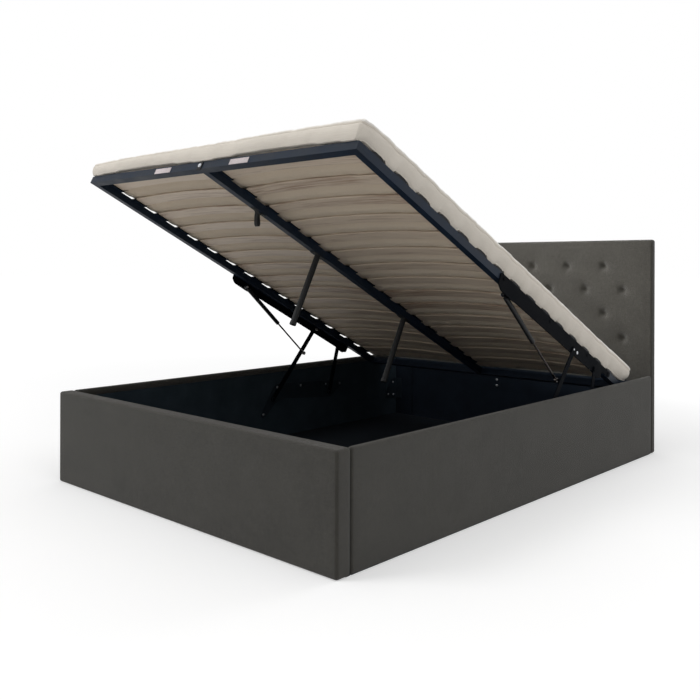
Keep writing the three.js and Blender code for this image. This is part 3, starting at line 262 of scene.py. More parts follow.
# Mesh helpers.
def mesh_piece(name, points, faces, material, smooth=True):
    """A new object with that mesh and material."""
    data = bpy.data.meshes.new(name)
    data.from_pydata([tuple(p) for p in points], [], faces)
    data.validate()
    made = bpy.data.objects.new(name, data)
    bpy.context.scene.collection.objects.link(made)
    data.materials.append(material)
    if smooth:
        data.shade_smooth()
    return made


def steps(low, high, step, edge, fine):
    """Places from low to high, about step apart, with fine ones inside both edges."""
    inner = np.linspace(low + edge, high - edge, max(2, int(round((high - low) / step))) + 1)
    rise = edge * np.tan(np.linspace(0, math.pi / 4, fine + 1))
    start = low + edge - rise[::-1][:-1]
    end = high - edge + rise[1:]
    return np.concatenate([start, inner, end])


def block(low, high, rounding, xs, ys, zs):
    """A rounded box as arrays of points and quads, from the places along its three axes."""
    count = (len(xs), len(ys), len(zs))
    index = {}
    points = []

    def spot(i, j, k):
        key = (i, j, k)
        if key not in index:
            index[key] = len(points)
            points.append((xs[i], ys[j], zs[k]))
        return index[key]

    faces = []
    for axis in range(3):
        u, v = (axis + 1) % 3, (axis + 2) % 3
        for side in (0, count[axis] - 1):
            for a in range(count[u] - 1):
                for b in range(count[v] - 1):
                    corners = []
                    for da, db in ((0, 0), (1, 0), (1, 1), (0, 1)):
                        place = [0, 0, 0]
                        place[axis], place[u], place[v] = side, a + da, b + db
                        corners.append(spot(*place))
                    faces.append(corners if side else corners[::-1])
    points = np.array(points)
    inner = np.clip(points, np.array(low) + rounding, np.array(high) - rounding)
    out = points - inner
    length = np.linalg.norm(out, axis=1, keepdims=True)
    return inner + out / np.maximum(length, TINY) * rounding, faces


def normals_of(points, faces):
    """Unit normals at the points, from the quads that meet there."""
    quads = np.array(faces)
    across = np.cross(
        points[quads[:, 2]] - points[quads[:, 0]], points[quads[:, 3]] - points[quads[:, 1]]
    )
    total = np.zeros_like(points)
    for corner in range(4):
        np.add.at(total, quads[:, corner], across)
    return total / np.maximum(np.linalg.norm(total, axis=1, keepdims=True), TINY_AREA)


def soft_noise(points, size, seed):
    """Smooth noise between about -1 and 1 at each point, with features of that size."""
    return np.array(
        [noise.noise(Vector(p) / size + Vector((seed, 3 * seed, 7 * seed))) for p in points]
    )


def inflate(points, faces, held, pressure, slack, cap):
    """Points of a skin after a cloth simulation: held points stay, and the rest swell."""
    used = np.unique(np.array(faces))
    local = {int(old): new for new, old in enumerate(used)}
    data = bpy.data.meshes.new("skin")
    data.from_pydata(
        [tuple(p) for p in points[used]], [], [[local[i] for i in face] for face in faces]
    )
    skin = bpy.data.objects.new("skin", data)
    bpy.context.scene.collection.objects.link(skin)
    pins = skin.vertex_groups.new(name="held")
    pins.add([local[int(i)] for i in used if held[i]], 1.0, "REPLACE")
    cloth = skin.modifiers.new("cloth", "CLOTH")
    settings = cloth.settings
    settings.vertex_group_mass = "held"
    settings.mass = CLOTH_MASS
    settings.tension_stiffness = CLOTH_TENSION
    settings.compression_stiffness = CLOTH_TENSION
    settings.bending_stiffness = CLOTH_BENDING
    settings.use_pressure = True
    settings.uniform_pressure_force = pressure
    settings.shrink_min = -slack
    settings.effector_weights.gravity = 0
    cloth.collision_settings.use_collision = False
    cloth.point_cache.frame_start = 1
    cloth.point_cache.frame_end = CLOTH_FRAMES
    scene = bpy.context.scene
    for number in range(1, CLOTH_FRAMES + 1):
        scene.frame_set(number)
    evaluated = skin.evaluated_get(bpy.context.evaluated_depsgraph_get())
    moved = np.array([tuple(v.co) for v in evaluated.data.vertices]) - points[used]
    scene.frame_set(1)
    bpy.data.objects.remove(skin)
    length = np.linalg.norm(moved, axis=1, keepdims=True)
    swollen = points.copy()
    swollen[used] += moved * np.minimum(1, cap / np.maximum(length, TINY))
    return swollen


def sharpen(piece, degrees):
    """Shades the edges that turn by more than the angle as sharp."""
    piece.data.set_sharp_from_angle(angle=math.radians(degrees))


def cut_for(piece, node):
    """Cuts the room for a CAD board out of a cover, a little larger than the board."""
    low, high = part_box(node)
    middle = (low + high) / 2
    size = high - low
    grow = Matrix.Diagonal([1 + 2 * BOARD_SLACK / side for side in size]).to_4x4()
    cutter = bpy.data.objects.new("cutter", NODES[node].data.copy())
    bpy.context.scene.collection.objects.link(cutter)
    cutter.data.transform(Matrix.Translation(middle) @ grow @ Matrix.Translation(-middle))
    cut = piece.modifiers.new("cut", "BOOLEAN")
    cut.operation = "DIFFERENCE"
    cut.solver = "EXACT"
    cut.object = cutter
    apply_modifiers(piece)
    bpy.data.objects.remove(cutter)


def apply_modifiers(piece):
    """Puts the modifiers' result in place of the mesh."""
    evaluated = piece.evaluated_get(bpy.context.evaluated_depsgraph_get())
    data = bpy.data.meshes.new_from_object(evaluated)
    piece.modifiers.clear()
    piece.data = data


def turned(profile, sides, centre, axis):
    """Points and faces of a form turned about an axis: the profile holds radius and height."""
    axis = Vector(axis).normalized()
    side = axis.orthogonal().normalized()
    other = axis.cross(side)
    made, faces = [], []
    for radius, height in profile:
        for k in range(sides):
            turn = 2 * math.pi * k / sides
            out = radius * (math.cos(turn) * side + math.sin(turn) * other)
            made.append(Vector(centre) + out + height * axis)
    for ring in range(len(profile) - 1):
        for k in range(sides):
            a, b = ring * sides + k, ring * sides + (k + 1) % sides
            faces.append((a, b, b + sides, a + sides))
    faces.append(tuple(reversed(range(sides))))
    faces.append(tuple(range((len(profile) - 1) * sides, len(profile) * sides)))
    return made, faces


def together(parts):
    """One list of points and one of faces, from several."""
    points, faces = [], []
    for part_points, part_faces in parts:
        start = len(points)
        points.extend(part_points)
        faces.extend(tuple(start + i for i in face) for face in part_faces)
    return points, faces


def bevelled_box(low, high, rounding):
    """Points and faces of a small box with rounded edges."""
    places = [steps(low[a], high[a], high[a] - low[a], rounding, BOX_FINE) for a in range(3)]
    return block(low, high, rounding, *places)


# Lid coordinates.
def lid_parts(points):
    """Row-frame points as x, along the lid and square on it."""
    points = np.asarray(points, float).reshape(-1, 3)
    return np.stack([points[:, 0], points @ np.array(ALONG), points @ np.array(UP)], 1)


def node_points(node):
    """All corners of a CAD node, in the row frame."""
    return np.array([v.co for v in NODES[node].data.vertices], float)


LID_LOW = lid_parts(node_points("lid_frame")).min(0)


def lid_box(node):
    """Lowest and highest x, s and h of a node, from the lid's foot edge and underside."""
    parts = lid_parts(node_points(node))
    shift = np.array([0, LID_LOW[1], LID_LOW[2]])
    return parts.min(0) - shift, parts.max(0) - shift


def on_lid(parts):
    """Points in the row frame from x, s and h on the lid."""
    parts = np.asarray(parts, float).reshape(-1, 3)
    s = parts[:, 1:2] + LID_LOW[1]
    h = parts[:, 2:3] + LID_LOW[2]
    across = parts[:, 0:1] * np.array([[1.0, 0, 0]])
    return across + s * np.array(ALONG) + h * np.array(UP)


# Materials.
# WAVE_PERIOD is the length of one wave of Blender's wave texture at a scale of 1.
WAVE_PERIOD = math.pi / 10
KNIT_LOOP = 0.0016


class Finish:
    """A procedural material, built node by node."""

    def __init__(self, name, roughness, metallic=0.0):
        self.material = bpy.data.materials.new(name)
        self.material.use_nodes = True
        self.tree = self.material.node_tree
        self.shader = self.tree.nodes["Principled BSDF"]
        self.shine(Roughness=roughness, Metallic=metallic)
        self.place = self.add("ShaderNodeTexCoord").outputs["Object"]

    def shine(self, **values):
        """Sets the shader's own values, such as its sheen."""
        for key, value in values.items():
            self.shader.inputs[key.replace("_", " ")].default_value = value

    def add(self, kind, **inputs):
        """A new node, with a value or a link for each of those inputs."""
        node = self.tree.nodes.new(kind)
        for key, value in inputs.items():
            self.put(node.inputs[key.replace("_", " ")], value)
        return node

    def put(self, socket, value):
        """Links the socket, or sets its value."""
        if isinstance(value, bpy.types.NodeSocket):
            self.tree.links.new(value, socket)
        else:
            socket.default_value = value

    def turned(self, angle, scale=(1, 1, 1)):
        """Object places turned about x, and stretched."""
        return self.add(
            "ShaderNodeMapping", Vector=self.place, Rotation=(angle, 0, 0), Scale=scale
        ).outputs["Vector"]

    def math(self, operation, a, b=0.0):
        """Result of an operation on two values or sockets."""
        node = self.tree.nodes.new("ShaderNodeMath")
        node.operation = operation
        self.put(node.inputs[0], a)
        self.put(node.inputs[1], b)
        return node.outputs[0]

    def blend(self, *shares):
        """Sum of values, each times its share."""
        total = None
        for value, share in shares:
            part = self.math("MULTIPLY", value, share)
            total = part if total is None else self.math("ADD", total, part)
        return total

    def noise(self, vector, scale, detail=2.0, roughness=0.5):
        node = self.add(
            "ShaderNodeTexNoise", Vector=vector, Scale=scale, Detail=detail, Roughness=roughness
        )
        return node.outputs["Fac"]

    def wave(self, vector, scale, axis, distortion=0.0, detail=1.0):
        node = self.add(
            "ShaderNodeTexWave", Vector=vector, Scale=scale, Distortion=distortion, Detail=detail
        )
        node.bands_direction = axis
        return node.outputs["Fac"]

    def threads(self, vector, thread, distortion):
        """Height of threads that cross along all three axes."""
        waves = [self.wave(vector, WAVE_PERIOD / thread, axis, distortion) for axis in "XYZ"]
        return self.math("ADD", self.math("ADD", waves[0], waves[1]), waves[2])

    def ramp(self, value, stops):
        """Colour along a value, from stops that hold a place and a colour."""
        node = self.add("ShaderNodeValToRGB", Fac=value)
        ramp = node.color_ramp
        while len(ramp.elements) < len(stops):
            ramp.elements.new(0.5)
        for element, (place, colour) in zip(ramp.elements, stops):
            element.position = place
            element.color = (*colour, 1)
        return node.outputs["Color"]

    def tint(self, value, colour, *stops):
        """The colour darkened or lightened along a value: stops hold a place and a factor."""
        return self.ramp(value, [(place, shaded(colour, factor)) for place, factor in stops])

    def mix(self, share, a, b):
        """Colour between two, which may be sockets."""
        node = self.tree.nodes.new("ShaderNodeMix")
        node.data_type = "RGBA"
        self.put(node.inputs["Factor"], share)
        self.put(node.inputs["A"], a if isinstance(a, bpy.types.NodeSocket) else (*a, 1))
        self.put(node.inputs["B"], b if isinstance(b, bpy.types.NodeSocket) else (*b, 1))
        return node.outputs["Result"]

    def bump(self, height, distance, strength=1.0):
        """Adds a relief on top of the ones before it."""
        node = self.add(
            "ShaderNodeBump", Height=height, Distance=distance, Strength=strength
        )
        previous = self.shader.inputs["Normal"].links
        if previous:
            self.put(node.inputs["Normal"], previous[0].from_socket)
        self.put(self.shader.inputs["Normal"], node.outputs["Normal"])

    def colour(self, value):
        self.put(self.shader.inputs["Base Color"], value)


def linear(red, green, blue):
    """Linear colour from the 0 to 255 values that a screen shows."""
    shares = [c / 255 for c in (red, green, blue)]
    return tuple(c / 12.92 if c <= 0.04045 else ((c + 0.055) / 1.055) ** 2.4 for c in shares)


def shaded(colour, factor):
    """The colour times a factor."""
    return tuple(c * factor for c in colour)


def woven(name, colour, thread, roughness, angle=0.0, slub=0.5, fuzz=0.35):
    """Plain woven cloth: crossing threads, slubs along them and a faint mottle."""
    made = Finish(name, roughness)
    place = made.turned(angle)
    height = made.threads(place, thread, distortion=1.2)
    slubs = [
        made.noise(made.turned(angle, stretch), scale=9, detail=3)
        for stretch in ((6, 60, 60), (60, 60, 6))
    ]
    mottle = made.noise(place, scale=7, detail=4)
    fibre = made.noise(place, scale=900)
    tone = made.blend((slubs[0], 0.4), (slubs[1], 0.4), (mottle, 0.2))
    base = made.tint(tone, colour, (0.3, 1 - slub), (0.7, 1 + slub))
    made.colour(made.mix(made.math("MULTIPLY", height, 0.10), base, shaded(colour, 0.6)))
    made.bump(height, distance=0.25 * thread)
    made.bump(fibre, distance=0.1 * thread, strength=fuzz)
    made.shine(Sheen_Weight=0.2, Sheen_Roughness=0.5, Specular_IOR_Level=0.15)
    return made.material


def coated(name, colour, roughness, gloss, grain=1800, depth=0.00008):
    """Powder coat: a fine orange peel, with a little dust and rub in the colour."""
    made = Finish(name, roughness)
    made.shine(Specular_IOR_Level=gloss)
    peel = made.noise(made.place, scale=grain)
    dust = made.noise(made.place, scale=14, detail=4, roughness=0.6)
    made.colour(made.tint(dust, colour, (0.35, 0.82), (0.7, 1.22)))
    rough = made.ramp(dust, [(0.3, (roughness - 0.07,) * 3), (0.75, (roughness + 0.1,) * 3)])
    made.put(made.shader.inputs["Roughness"], rough)
    made.bump(peel, distance=depth)
    return made


UPHOLSTERY_COLOUR = linear(64, 62, 57)
LINING_COLOUR = linear(21, 28, 37)
# The side walls' lining felt: the same cloth as the other lining, made lighter as painted light.
SIDE_LINING_PAINTED_LIGHT_COLOUR = linear(44, 54, 62)
FLOOR_LINING_SHADED_COLOUR = linear(13, 18, 24)
# The box floor's lining felt: the same cloth, made darker as painted shade.
WEBBING_COLOUR = linear(12, 12, 14)
LEG_COLOUR = linear(32, 33, 34)
# The low brackets' coat: the black bracket coat made lighter, as painted light.
LOW_BRACKET_PAINTED_LIGHT_COLOUR = linear(31, 39, 46)
STEEL_COLOUR = linear(19, 30, 44)
BLACK_COLOUR = linear(7, 9, 13)
PLASTIC_COLOUR = linear(15, 16, 19)
SLAT_COLOUR = linear(206, 190, 171)
SLAT_GRAIN_COLOUR = linear(146, 118, 98)
TICKING_COLOUR = linear(224, 216, 204)
BASE_CLOTH_COLOUR = linear(222, 204, 180)
# The rim binding: lighter than the ticking, partly its own colour and partly a painted highlight.
TAPE_AND_HIGHLIGHT_COLOUR = linear(246, 242, 235)
PAD_COLOUR = linear(205, 195, 196)
ZINC_COLOUR = linear(190, 192, 196)
ROD_COLOUR = linear(62, 58, 56)
CYLINDER_COLOUR = linear(13, 14, 17)
CLIP_COLOUR = linear(12, 13, 15)
BOARD_COLOUR = linear(176, 150, 118)
BOARD_GRAIN_COLOUR = linear(130, 104, 76)


def lining_cloth(name, colour):
    """Pressed, not woven, cloth: short crossing fibres and small dimples."""
    made = Finish(name, roughness=0.93)
    made.shine(Specular_IOR_Level=0.1)
    fibres = made.noise(made.place, scale=420, detail=5, roughness=0.7)
    clouds = made.noise(made.place, scale=9, detail=3)
    tone = made.blend((fibres, 0.6), (clouds, 0.4))
    made.colour(made.tint(tone, colour, (0.35, 0.7), (0.68, 1.35)))
    dimples = made.add("ShaderNodeTexVoronoi", Vector=made.place, Scale=520).outputs["Distance"]
    made.bump(dimples, distance=0.0004)
    made.bump(fibres, distance=0.0002)
    return made.material


def wood(name, light, dark, roughness, angle=0.0):
    """Grain along x: long streaks, pores and a tone that drifts from slat to slat."""
    made = Finish(name, roughness)
    streaks = made.noise(made.turned(angle, (1.2, 38, 38)), scale=3.2, detail=6, roughness=0.6)
    pores = made.noise(made.turned(angle, (9, 420, 420)), scale=3)
    drift = made.noise(made.turned(angle, (0.4, 5, 1)), scale=1.7, detail=1)
    tone = made.blend((streaks, 0.65), (drift, 0.35))
    base = made.ramp(tone, [(0.32, dark), (0.5, light), (0.72, shaded(light, 1.12))])
    made.colour(made.mix(made.math("MULTIPLY", pores, 0.22), base, shaded(dark, 0.75)))
    made.bump(pores, distance=0.00025)
    made.bump(streaks, distance=0.0004, strength=0.5)
    return made.material


def knitted(name, colour, angle):
    """Mattress ticking: a fine knit with soft woven-in rows."""
    made = Finish(name, roughness=0.9)
    place = made.turned(angle)
    height = made.threads(place, KNIT_LOOP, distortion=2.0)
    rows = made.noise(made.turned(angle, (4, 60, 60)), scale=4, detail=4)
    soft = made.noise(place, scale=5, detail=3)
    tone = made.blend((rows, 0.5), (soft, 0.5))
    made.colour(made.tint(tone, colour, (0.3, 0.93), (0.7, 1.03)))
    made.bump(height, distance=0.0004, strength=0.7)
    made.bump(rows, distance=0.0012, strength=0.5)
    made.shine(Sheen_Weight=0.2)
    return made.material


def plated(name, colour, roughness):
    """Bright metal with fine turning marks."""
    made = Finish(name, roughness, metallic=1.0)
    marks = made.noise(made.place, scale=1200, detail=3)
    patches = made.noise(made.place, scale=60, detail=3)
    made.colour(made.tint(patches, colour, (0.3, 0.85), (0.7, 1)))
    made.bump(marks, distance=0.00005)
    return made.material


def lid_steel_with_holders():
    """Dark blue powder coat on the tubes, and black plastic on the holders above them."""
    made = coated("lid_tube_coat", STEEL_COLOUR, roughness=0.5, gloss=0.15)
    upward = made.add("ShaderNodeVectorMath", Vector=made.place)
    upward.operation = "DOT_PRODUCT"
    upward.inputs[1].default_value = tuple(UP)
    height = made.math("SUBTRACT", upward.outputs["Value"], LID_LOW[2] + TUBE_TOP)
    holder = made.math("GREATER_THAN", height)
    base = made.shader.inputs["Base Color"].links[0].from_socket
    made.colour(made.mix(holder, base, PLASTIC_COLOUR))
    return made.material


upholstery = woven("upholstery_weave", UPHOLSTERY_COLOUR, thread=0.0014, roughness=0.92)
webbing = woven("strap_webbing", WEBBING_COLOUR, thread=0.0016, roughness=0.85, slub=0.1)
base_cloth = woven(
    "mattress_base_cloth",
    BASE_CLOTH_COLOUR,
    thread=0.0012,
    roughness=0.9,
    angle=LID_TURN,
    slub=0.05,
)
ticking = knitted("mattress_knit", TICKING_COLOUR, LID_TURN)
tape_and_highlight = knitted("mattress_tape_and_highlight", TAPE_AND_HIGHLIGHT_COLOUR, LID_TURN)
lining = lining_cloth("lining_felt", LINING_COLOUR)
side_lining_painted_light = lining_cloth("side_lining_felt_painted_light", SIDE_LINING_PAINTED_LIGHT_COLOUR)
# A darker copy of the lining felt for the box floor: painted shade.
floor_lining = lining_cloth("floor_felt_painted_shade", FLOOR_LINING_SHADED_COLOUR)
pad_felt = lining_cloth("pad_felt", PAD_COLOUR)
slat_wood = wood("slat_birch", SLAT_COLOUR, SLAT_GRAIN_COLOUR, roughness=0.55, angle=LID_TURN)
board_wood = wood("headboard_core", BOARD_COLOUR, BOARD_GRAIN_COLOUR, roughness=0.8)
bracket_steel = coated("bracket_coat", BLACK_COLOUR, roughness=0.6, gloss=0.02).material
low_bracket_painted_light = coated("low_bracket_coat_painted_light", LOW_BRACKET_PAINTED_LIGHT_COLOUR, roughness=0.55, gloss=0.1).material
clip_steel = coated("clip_coat", CLIP_COLOUR, roughness=0.5, gloss=0.15).material
leg_plastic = coated(
    "leg_plastic", LEG_COLOUR, roughness=0.5, gloss=0.2, grain=600, depth=0.00015
).material
cylinder_paint = coated(
    "cylinder_paint", CYLINDER_COLOUR, roughness=0.35, gloss=0.2, grain=2400, depth=0.00003
).material
zinc = plated("zinc_plate", ZINC_COLOUR, roughness=0.35)
rod_chrome = plated("rod_chrome", ROD_COLOUR, roughness=0.16)
lid_coat = lid_steel_with_holders()

SLOT_FINISHES = {
    "upholstery": upholstery,
    "lined_board": lining,
    "floor_lining": floor_lining,
    "board": board_wood,
    "lid_steel": lid_coat,
    "slat_wood": slat_wood,
    "leg_plastic": leg_plastic,
    "webbing": webbing,
    "ticking": ticking,
    "gas_cylinder": cylinder_paint,
    "strut_rod": rod_chrome,
    "bracket_steel": bracket_steel,
}
for subpart in frame["record"]["subparts"]:
    node_object = NODES[subpart["node"]]
    node_object.data.materials.clear()
    node_object.data.materials.append(SLOT_FINISHES[subpart["material_slot"]])
for side in ("right", "left"):
    # The side boards get a lighter copy of the lining felt: painted light.
    NODES["side_board_" + side].data.materials[0] = side_lining_painted_light
    # The low brackets get a lighter copy of the black bracket coat: painted light.
    for fitting in ("base_bracket_", "corner_bracket_"):
        NODES[fitting + side].data.materials[0] = low_bracket_painted_light


# Upholstered covers of the foot panel and the side rails.
def cover(name, node, board, seed):
    """A padded cover that bulges a little on its outer face, with room for its board."""
    low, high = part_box(node)
    places = [steps(low[a], high[a], COVER_STEP, COVER_ROUNDING, COVER_FINE) for a in range(3)]
    points, faces = block(low, high, COVER_ROUNDING, *places)
    normal = normals_of(points, faces)
    middle = np.array((low + high) / 2)
    half = np.array((high - low) / 2)
    thin = int(np.argmin(half))
    outward = np.sign(points[:, thin] - middle[thin])
    away = outward * math.copysign(1, middle[thin])
    outer = np.where(away > 0, 1.0, 0.0)[:, None]
    shares = np.abs(points - middle) / half
    wide = [a for a in range(3) if a != thin]
    dome = np.ones(len(points))
    for axis, power in zip(wide, COVER_DOME_POWERS):
        dome = dome * (1 - shares[:, axis] ** power)
    ripple = soft_noise(points, COVER_WAVE_SIZE, seed)
    fine = soft_noise(points, COVER_FINE_WAVE_SIZE, seed + FINE_WAVE_SEED_SHIFT)
    ripple = ripple + COVER_FINE_WAVE_SHARE * fine
    lift = (COVER_BULGE * dome + COVER_RIPPLE * ripple * dome)[:, None]
    points = points + normal * lift * outer
    piece = mesh_piece(name, points, faces, upholstery)
    cut_for(piece, board)
    sharpen(piece, degrees=50)
    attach(piece, "base")
    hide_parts(node)


cover("foot_upholstery", "foot_cover", "foot_board", seed=2)
cover("side_upholstery_right", "side_cover_right", "side_board_right", seed=11)
cover("side_upholstery_left", "side_cover_left", "side_board_left", seed=23)


# Tufted headboard.
def tuft_centres(top):
    """X and z of the buttons, in rows that are stepped by half a pitch."""
    centres = []
    for row in range(TUFT_ROWS):
        shift = TUFT_SHIFT if row % 2 else -TUFT_SHIFT
        for i in range(TUFT_PER_ROW):
            x = shift + (i - (TUFT_PER_ROW - 1) / 2) * TUFT_PITCH
            centres.append((x, top - TUFT_TOP_MARGIN - row * TUFT_ROW_PITCH))
    return centres


def tuft_dip(x, z, centres):
    """How far the buttons pull the front back at each point, with pleats round them."""
    dip = np.zeros_like(x)
    for number, (cx, cz) in enumerate(centres):
        dx, dz = x - cx, z - cz
        far = np.hypot(dx, dz)
        wide = np.exp(-((far / TUFT_WIDE) ** 2))
        narrow = np.exp(-((far / TUFT_NARROW) ** 2))
        dip += TUFT_DEPTH * ((1 - TUFT_NARROW_SHARE) * wide + TUFT_NARROW_SHARE * narrow)
        turn = np.arctan2(dz, dx)
        ring = np.exp(-(((far - PLEAT_REACH) / PLEAT_WIDTH) ** 2))
        for share, count, start in PLEAT_TABLE:
            dip += share * PLEAT_HEIGHT * ring * np.cos(count * turn + start * number)
    return dip


def headboard():
    """The padded cover with its button dips, and the buttons."""
    low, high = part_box("headboard_cover")
    places = [
        steps(low[0], high[0], HEADBOARD_STEP, HEADBOARD_ROUNDING, HEADBOARD_FINE),
        steps(low[1], high[1], high[1] - low[1], HEADBOARD_ROUNDING, HEADBOARD_FINE),
        steps(low[2], high[2], HEADBOARD_STEP, HEADBOARD_ROUNDING, HEADBOARD_FINE),
    ]
    points, faces = block(low, high, HEADBOARD_ROUNDING, *places)
    front = np.clip((low[1] + HEADBOARD_ROUNDING - points[:, 1]) / HEADBOARD_ROUNDING, 0, 1)
    centres = tuft_centres(high[2])
    dip = tuft_dip(points[:, 0], points[:, 2], centres)
    ripple = HEADBOARD_RIPPLE_SHARE * COVER_RIPPLE
    crown = ripple * soft_noise(points, HEADBOARD_WAVE_SIZE, seed=31)
    points[:, 1] += front * (dip + crown)
    sheet = [face for face in faces if all(front[i] > HEADBOARD_FRONT_SHARE for i in face)]
    edge = np.minimum(high[0] - np.abs(points[:, 0]), high[2] - points[:, 2])
    held = (edge < HEADBOARD_ROUNDING + HEADBOARD_STEP) | (points[:, 2] < 2 * HEADBOARD_STEP)
    for x, z in centres:
        held |= np.hypot(points[:, 0] - x, points[:, 2] - z) < TUFT_HELD
    points = inflate(points, sheet, held, HEADBOARD_PRESSURE, HEADBOARD_SLACK, HEADBOARD_CAP)
    piece = mesh_piece("headboard_upholstery", points, faces, upholstery)
    cut_for(piece, "headboard_board")
    sharpen(piece, degrees=60)
    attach(piece, "base")
    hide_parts("headboard_cover")
    profile = [(BUTTON_RADIUS * r, BUTTON_HEIGHT * h) for r, h in BUTTON_PROFILE_SHARES]
    depth = low[1] + TUFT_DEPTH + BUTTON_SINK
    buttons = [turned(profile, ROUND_SIDES, (x, depth, z), (0, -1, 0)) for x, z in centres]
    made = mesh_piece("headboard_buttons", *together(buttons), upholstery)
    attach(made, "base")


headboard()


# Mattress: a soft block that rests on the arched slats and sags between them.
def slat_top():
    """Height of the slats' upper face at each x, from one slat."""
    low, high = lid_box(MIDDLE_SLAT)
    parts = lid_parts(node_points(MIDDLE_SLAT)) - np.array([0, LID_LOW[1], LID_LOW[2]])
    xs = np.linspace(low[0], high[0], SLAT_SAMPLES)
    tops = [parts[np.abs(parts[:, 0] - x) < SLAT_SAMPLE_REACH][:, 2].max() for x in xs]
    return xs, np.array(tops)


def mattress_heights(x, s, low, high):
    """Heights of the underside and of the top at each place, as in the CAD block."""
    share = np.clip((s - low[1]) / (high[1] - low[1]), 0, 1)
    across = np.clip(x / high[0], -1, 1)
    xs, tops = slat_top()
    rest = lid_box("centre_rail")[1][2]
    under = np.maximum(np.interp(np.abs(x), xs, tops), rest) + MATTRESS_REST_GAP
    gain = MATTRESS_HEAD_THICKNESS - MATTRESS_FOOT_THICKNESS
    thickness = MATTRESS_FOOT_THICKNESS + gain * share
    thickness = thickness + MATTRESS_FOOT_TILT * across * (1 - share)
    near = np.clip(1 - (s - low[1]) / MATTRESS_FOOT_DROP_REACH, 0, 1)
    thickness = thickness - MATTRESS_FOOT_DROP * near**2
    return under, rest + MATTRESS_REST_GAP + thickness + MATTRESS_CROWN * (1 - across**2)


def smooth(share):
    """An even rise from 0 to 1."""
    share = np.clip(share, 0, 1)
    return share**2 * (3 - 2 * share)


def between_rows(s, rows, clear, rise):
    """0 within a clear distance of each slat row, then rising to 1 over the rise."""
    pitch = rows[1] - rows[0]
    away = np.abs((s - rows[0] + pitch / 2) % pitch - pitch / 2)
    return smooth((away - clear) / rise)


def mattress_underside(x, s, under, high):
    """Height of the underside, which rests on slats and holders and hangs between them."""
    boxes = [lid_box(f"slat_right_{n:02d}") for n in range(1, SLAT_COUNT + 1)]
    rows = sorted((near[1] + far[1]) / 2 for near, far in boxes)
    inward = high[0] - np.abs(x)
    edge = smooth(1 - inward / MATTRESS_EDGE_REACH)
    within = (s > rows[0]) & (s < rows[-1])
    sag = MATTRESS_SAG * between_rows(s, rows, SLAT_HALF_WIDTH, MATTRESS_SAG_RISE) * (1 - edge)
    hang = np.where(x > 0, MATTRESS_RIGHT_HANG, MATTRESS_LEFT_HANG)
    hang = hang * between_rows(s, rows, HOLDER_HALF_LENGTH, MATTRESS_EDGE_CATCH)
    under = under - np.where(within, sag + hang * edge, 0)
    under = under - MATTRESS_FOOT_DROOP * smooth(1 - s / MATTRESS_FOOT_DROOP_FROM)
    tip = np.clip((s - high[1]) / MATTRESS_HEAD_LIFT_REACH + 1, 0, 1)
    return under + MATTRESS_HEAD_LIFT * tip**2


def mattress_top(s, over, high, lines):
    """Height of the top, rounded down at the head edge and drawn in at the quilting lines."""
    last = np.clip((s - high[1]) / MATTRESS_HEAD_ROUND_REACH + 1, 0, 1)
    return over - MATTRESS_HEAD_ROUND * last**3 - QUILT_DEPTH * lines


def border_swell(x, s, level):
    """How far the border stands out: bulge, ripples, creases, a puckered rim and its seam."""
    flat = np.stack([x, s, level * LEVEL_SHARE_IN_NOISE], 1)
    swell = MATTRESS_SIDE_BULGE * np.sin(math.pi * np.clip(level, 0, 1))
    ripple = MATTRESS_RIPPLE * soft_noise(flat, MATTRESS_RIPPLE_SIZE, seed=41)
    swell = swell + ripple * np.sin(math.pi * level)
    upright = flat * np.array([1, 1, CREASE_LENGTH_SHARE])
    creases = soft_noise(upright, CREASE_SIZE, seed=61) * 4 * level * (1 - level) ** 2
    swell = swell + CREASE_DEPTH * creases
    rim = np.exp(-(((level - RIM_LEVEL) / RIM_WIDTH) ** 2))
    puckers = 1 + PUCKER_SHARE * soft_noise(flat, PUCKER_SIZE, seed=71)
    swell = swell + RIM_SIZE * rim * puckers
    return swell - SEAM_DEPTH * np.exp(-(((level - SEAM_LEVEL) / SEAM_WIDTH) ** 2))


def mattress_block(low, high):
    """A rounded block of the mattress's length and width, with fine layers near its top."""
    size_low = np.array([low[0], low[1], 0.0])
    size_high = np.array([high[0], high[1], MATTRESS_NOMINAL])
    places = [
        steps(size_low[a], size_high[a], MATTRESS_STEP, MATTRESS_ROUNDING, MATTRESS_FINE)
        for a in range(2)
    ]
    below = np.linspace(0, MATTRESS_FINE_FROM, MATTRESS_LAYERS_BELOW)
    above = np.linspace(MATTRESS_FINE_FROM, 1, MATTRESS_LAYERS_ABOVE)
    places.append(MATTRESS_NOMINAL * np.concatenate([below, above[1:]]))
    return block(size_low, size_high, MATTRESS_ROUNDING, *places)


def quilt(x, s, low, high):
    """1 on the quilting lines of the top face, 0 away from them."""
    diagonals = (x + s, x - s)
    total = np.zeros_like(x)
    for line in diagonals:
        off = np.abs((line / QUILT_PITCH + 0.5) % 1 - 0.5) * QUILT_PITCH
        total = np.maximum(total, np.exp(-((off / QUILT_WIDTH) ** 2)))
    edge = np.minimum.reduce([x - low[0], high[0] - x, s - low[1], high[1] - s])
    return total * np.clip((edge - QUILT_MARGIN) / QUILT_FADE, 0, 1)


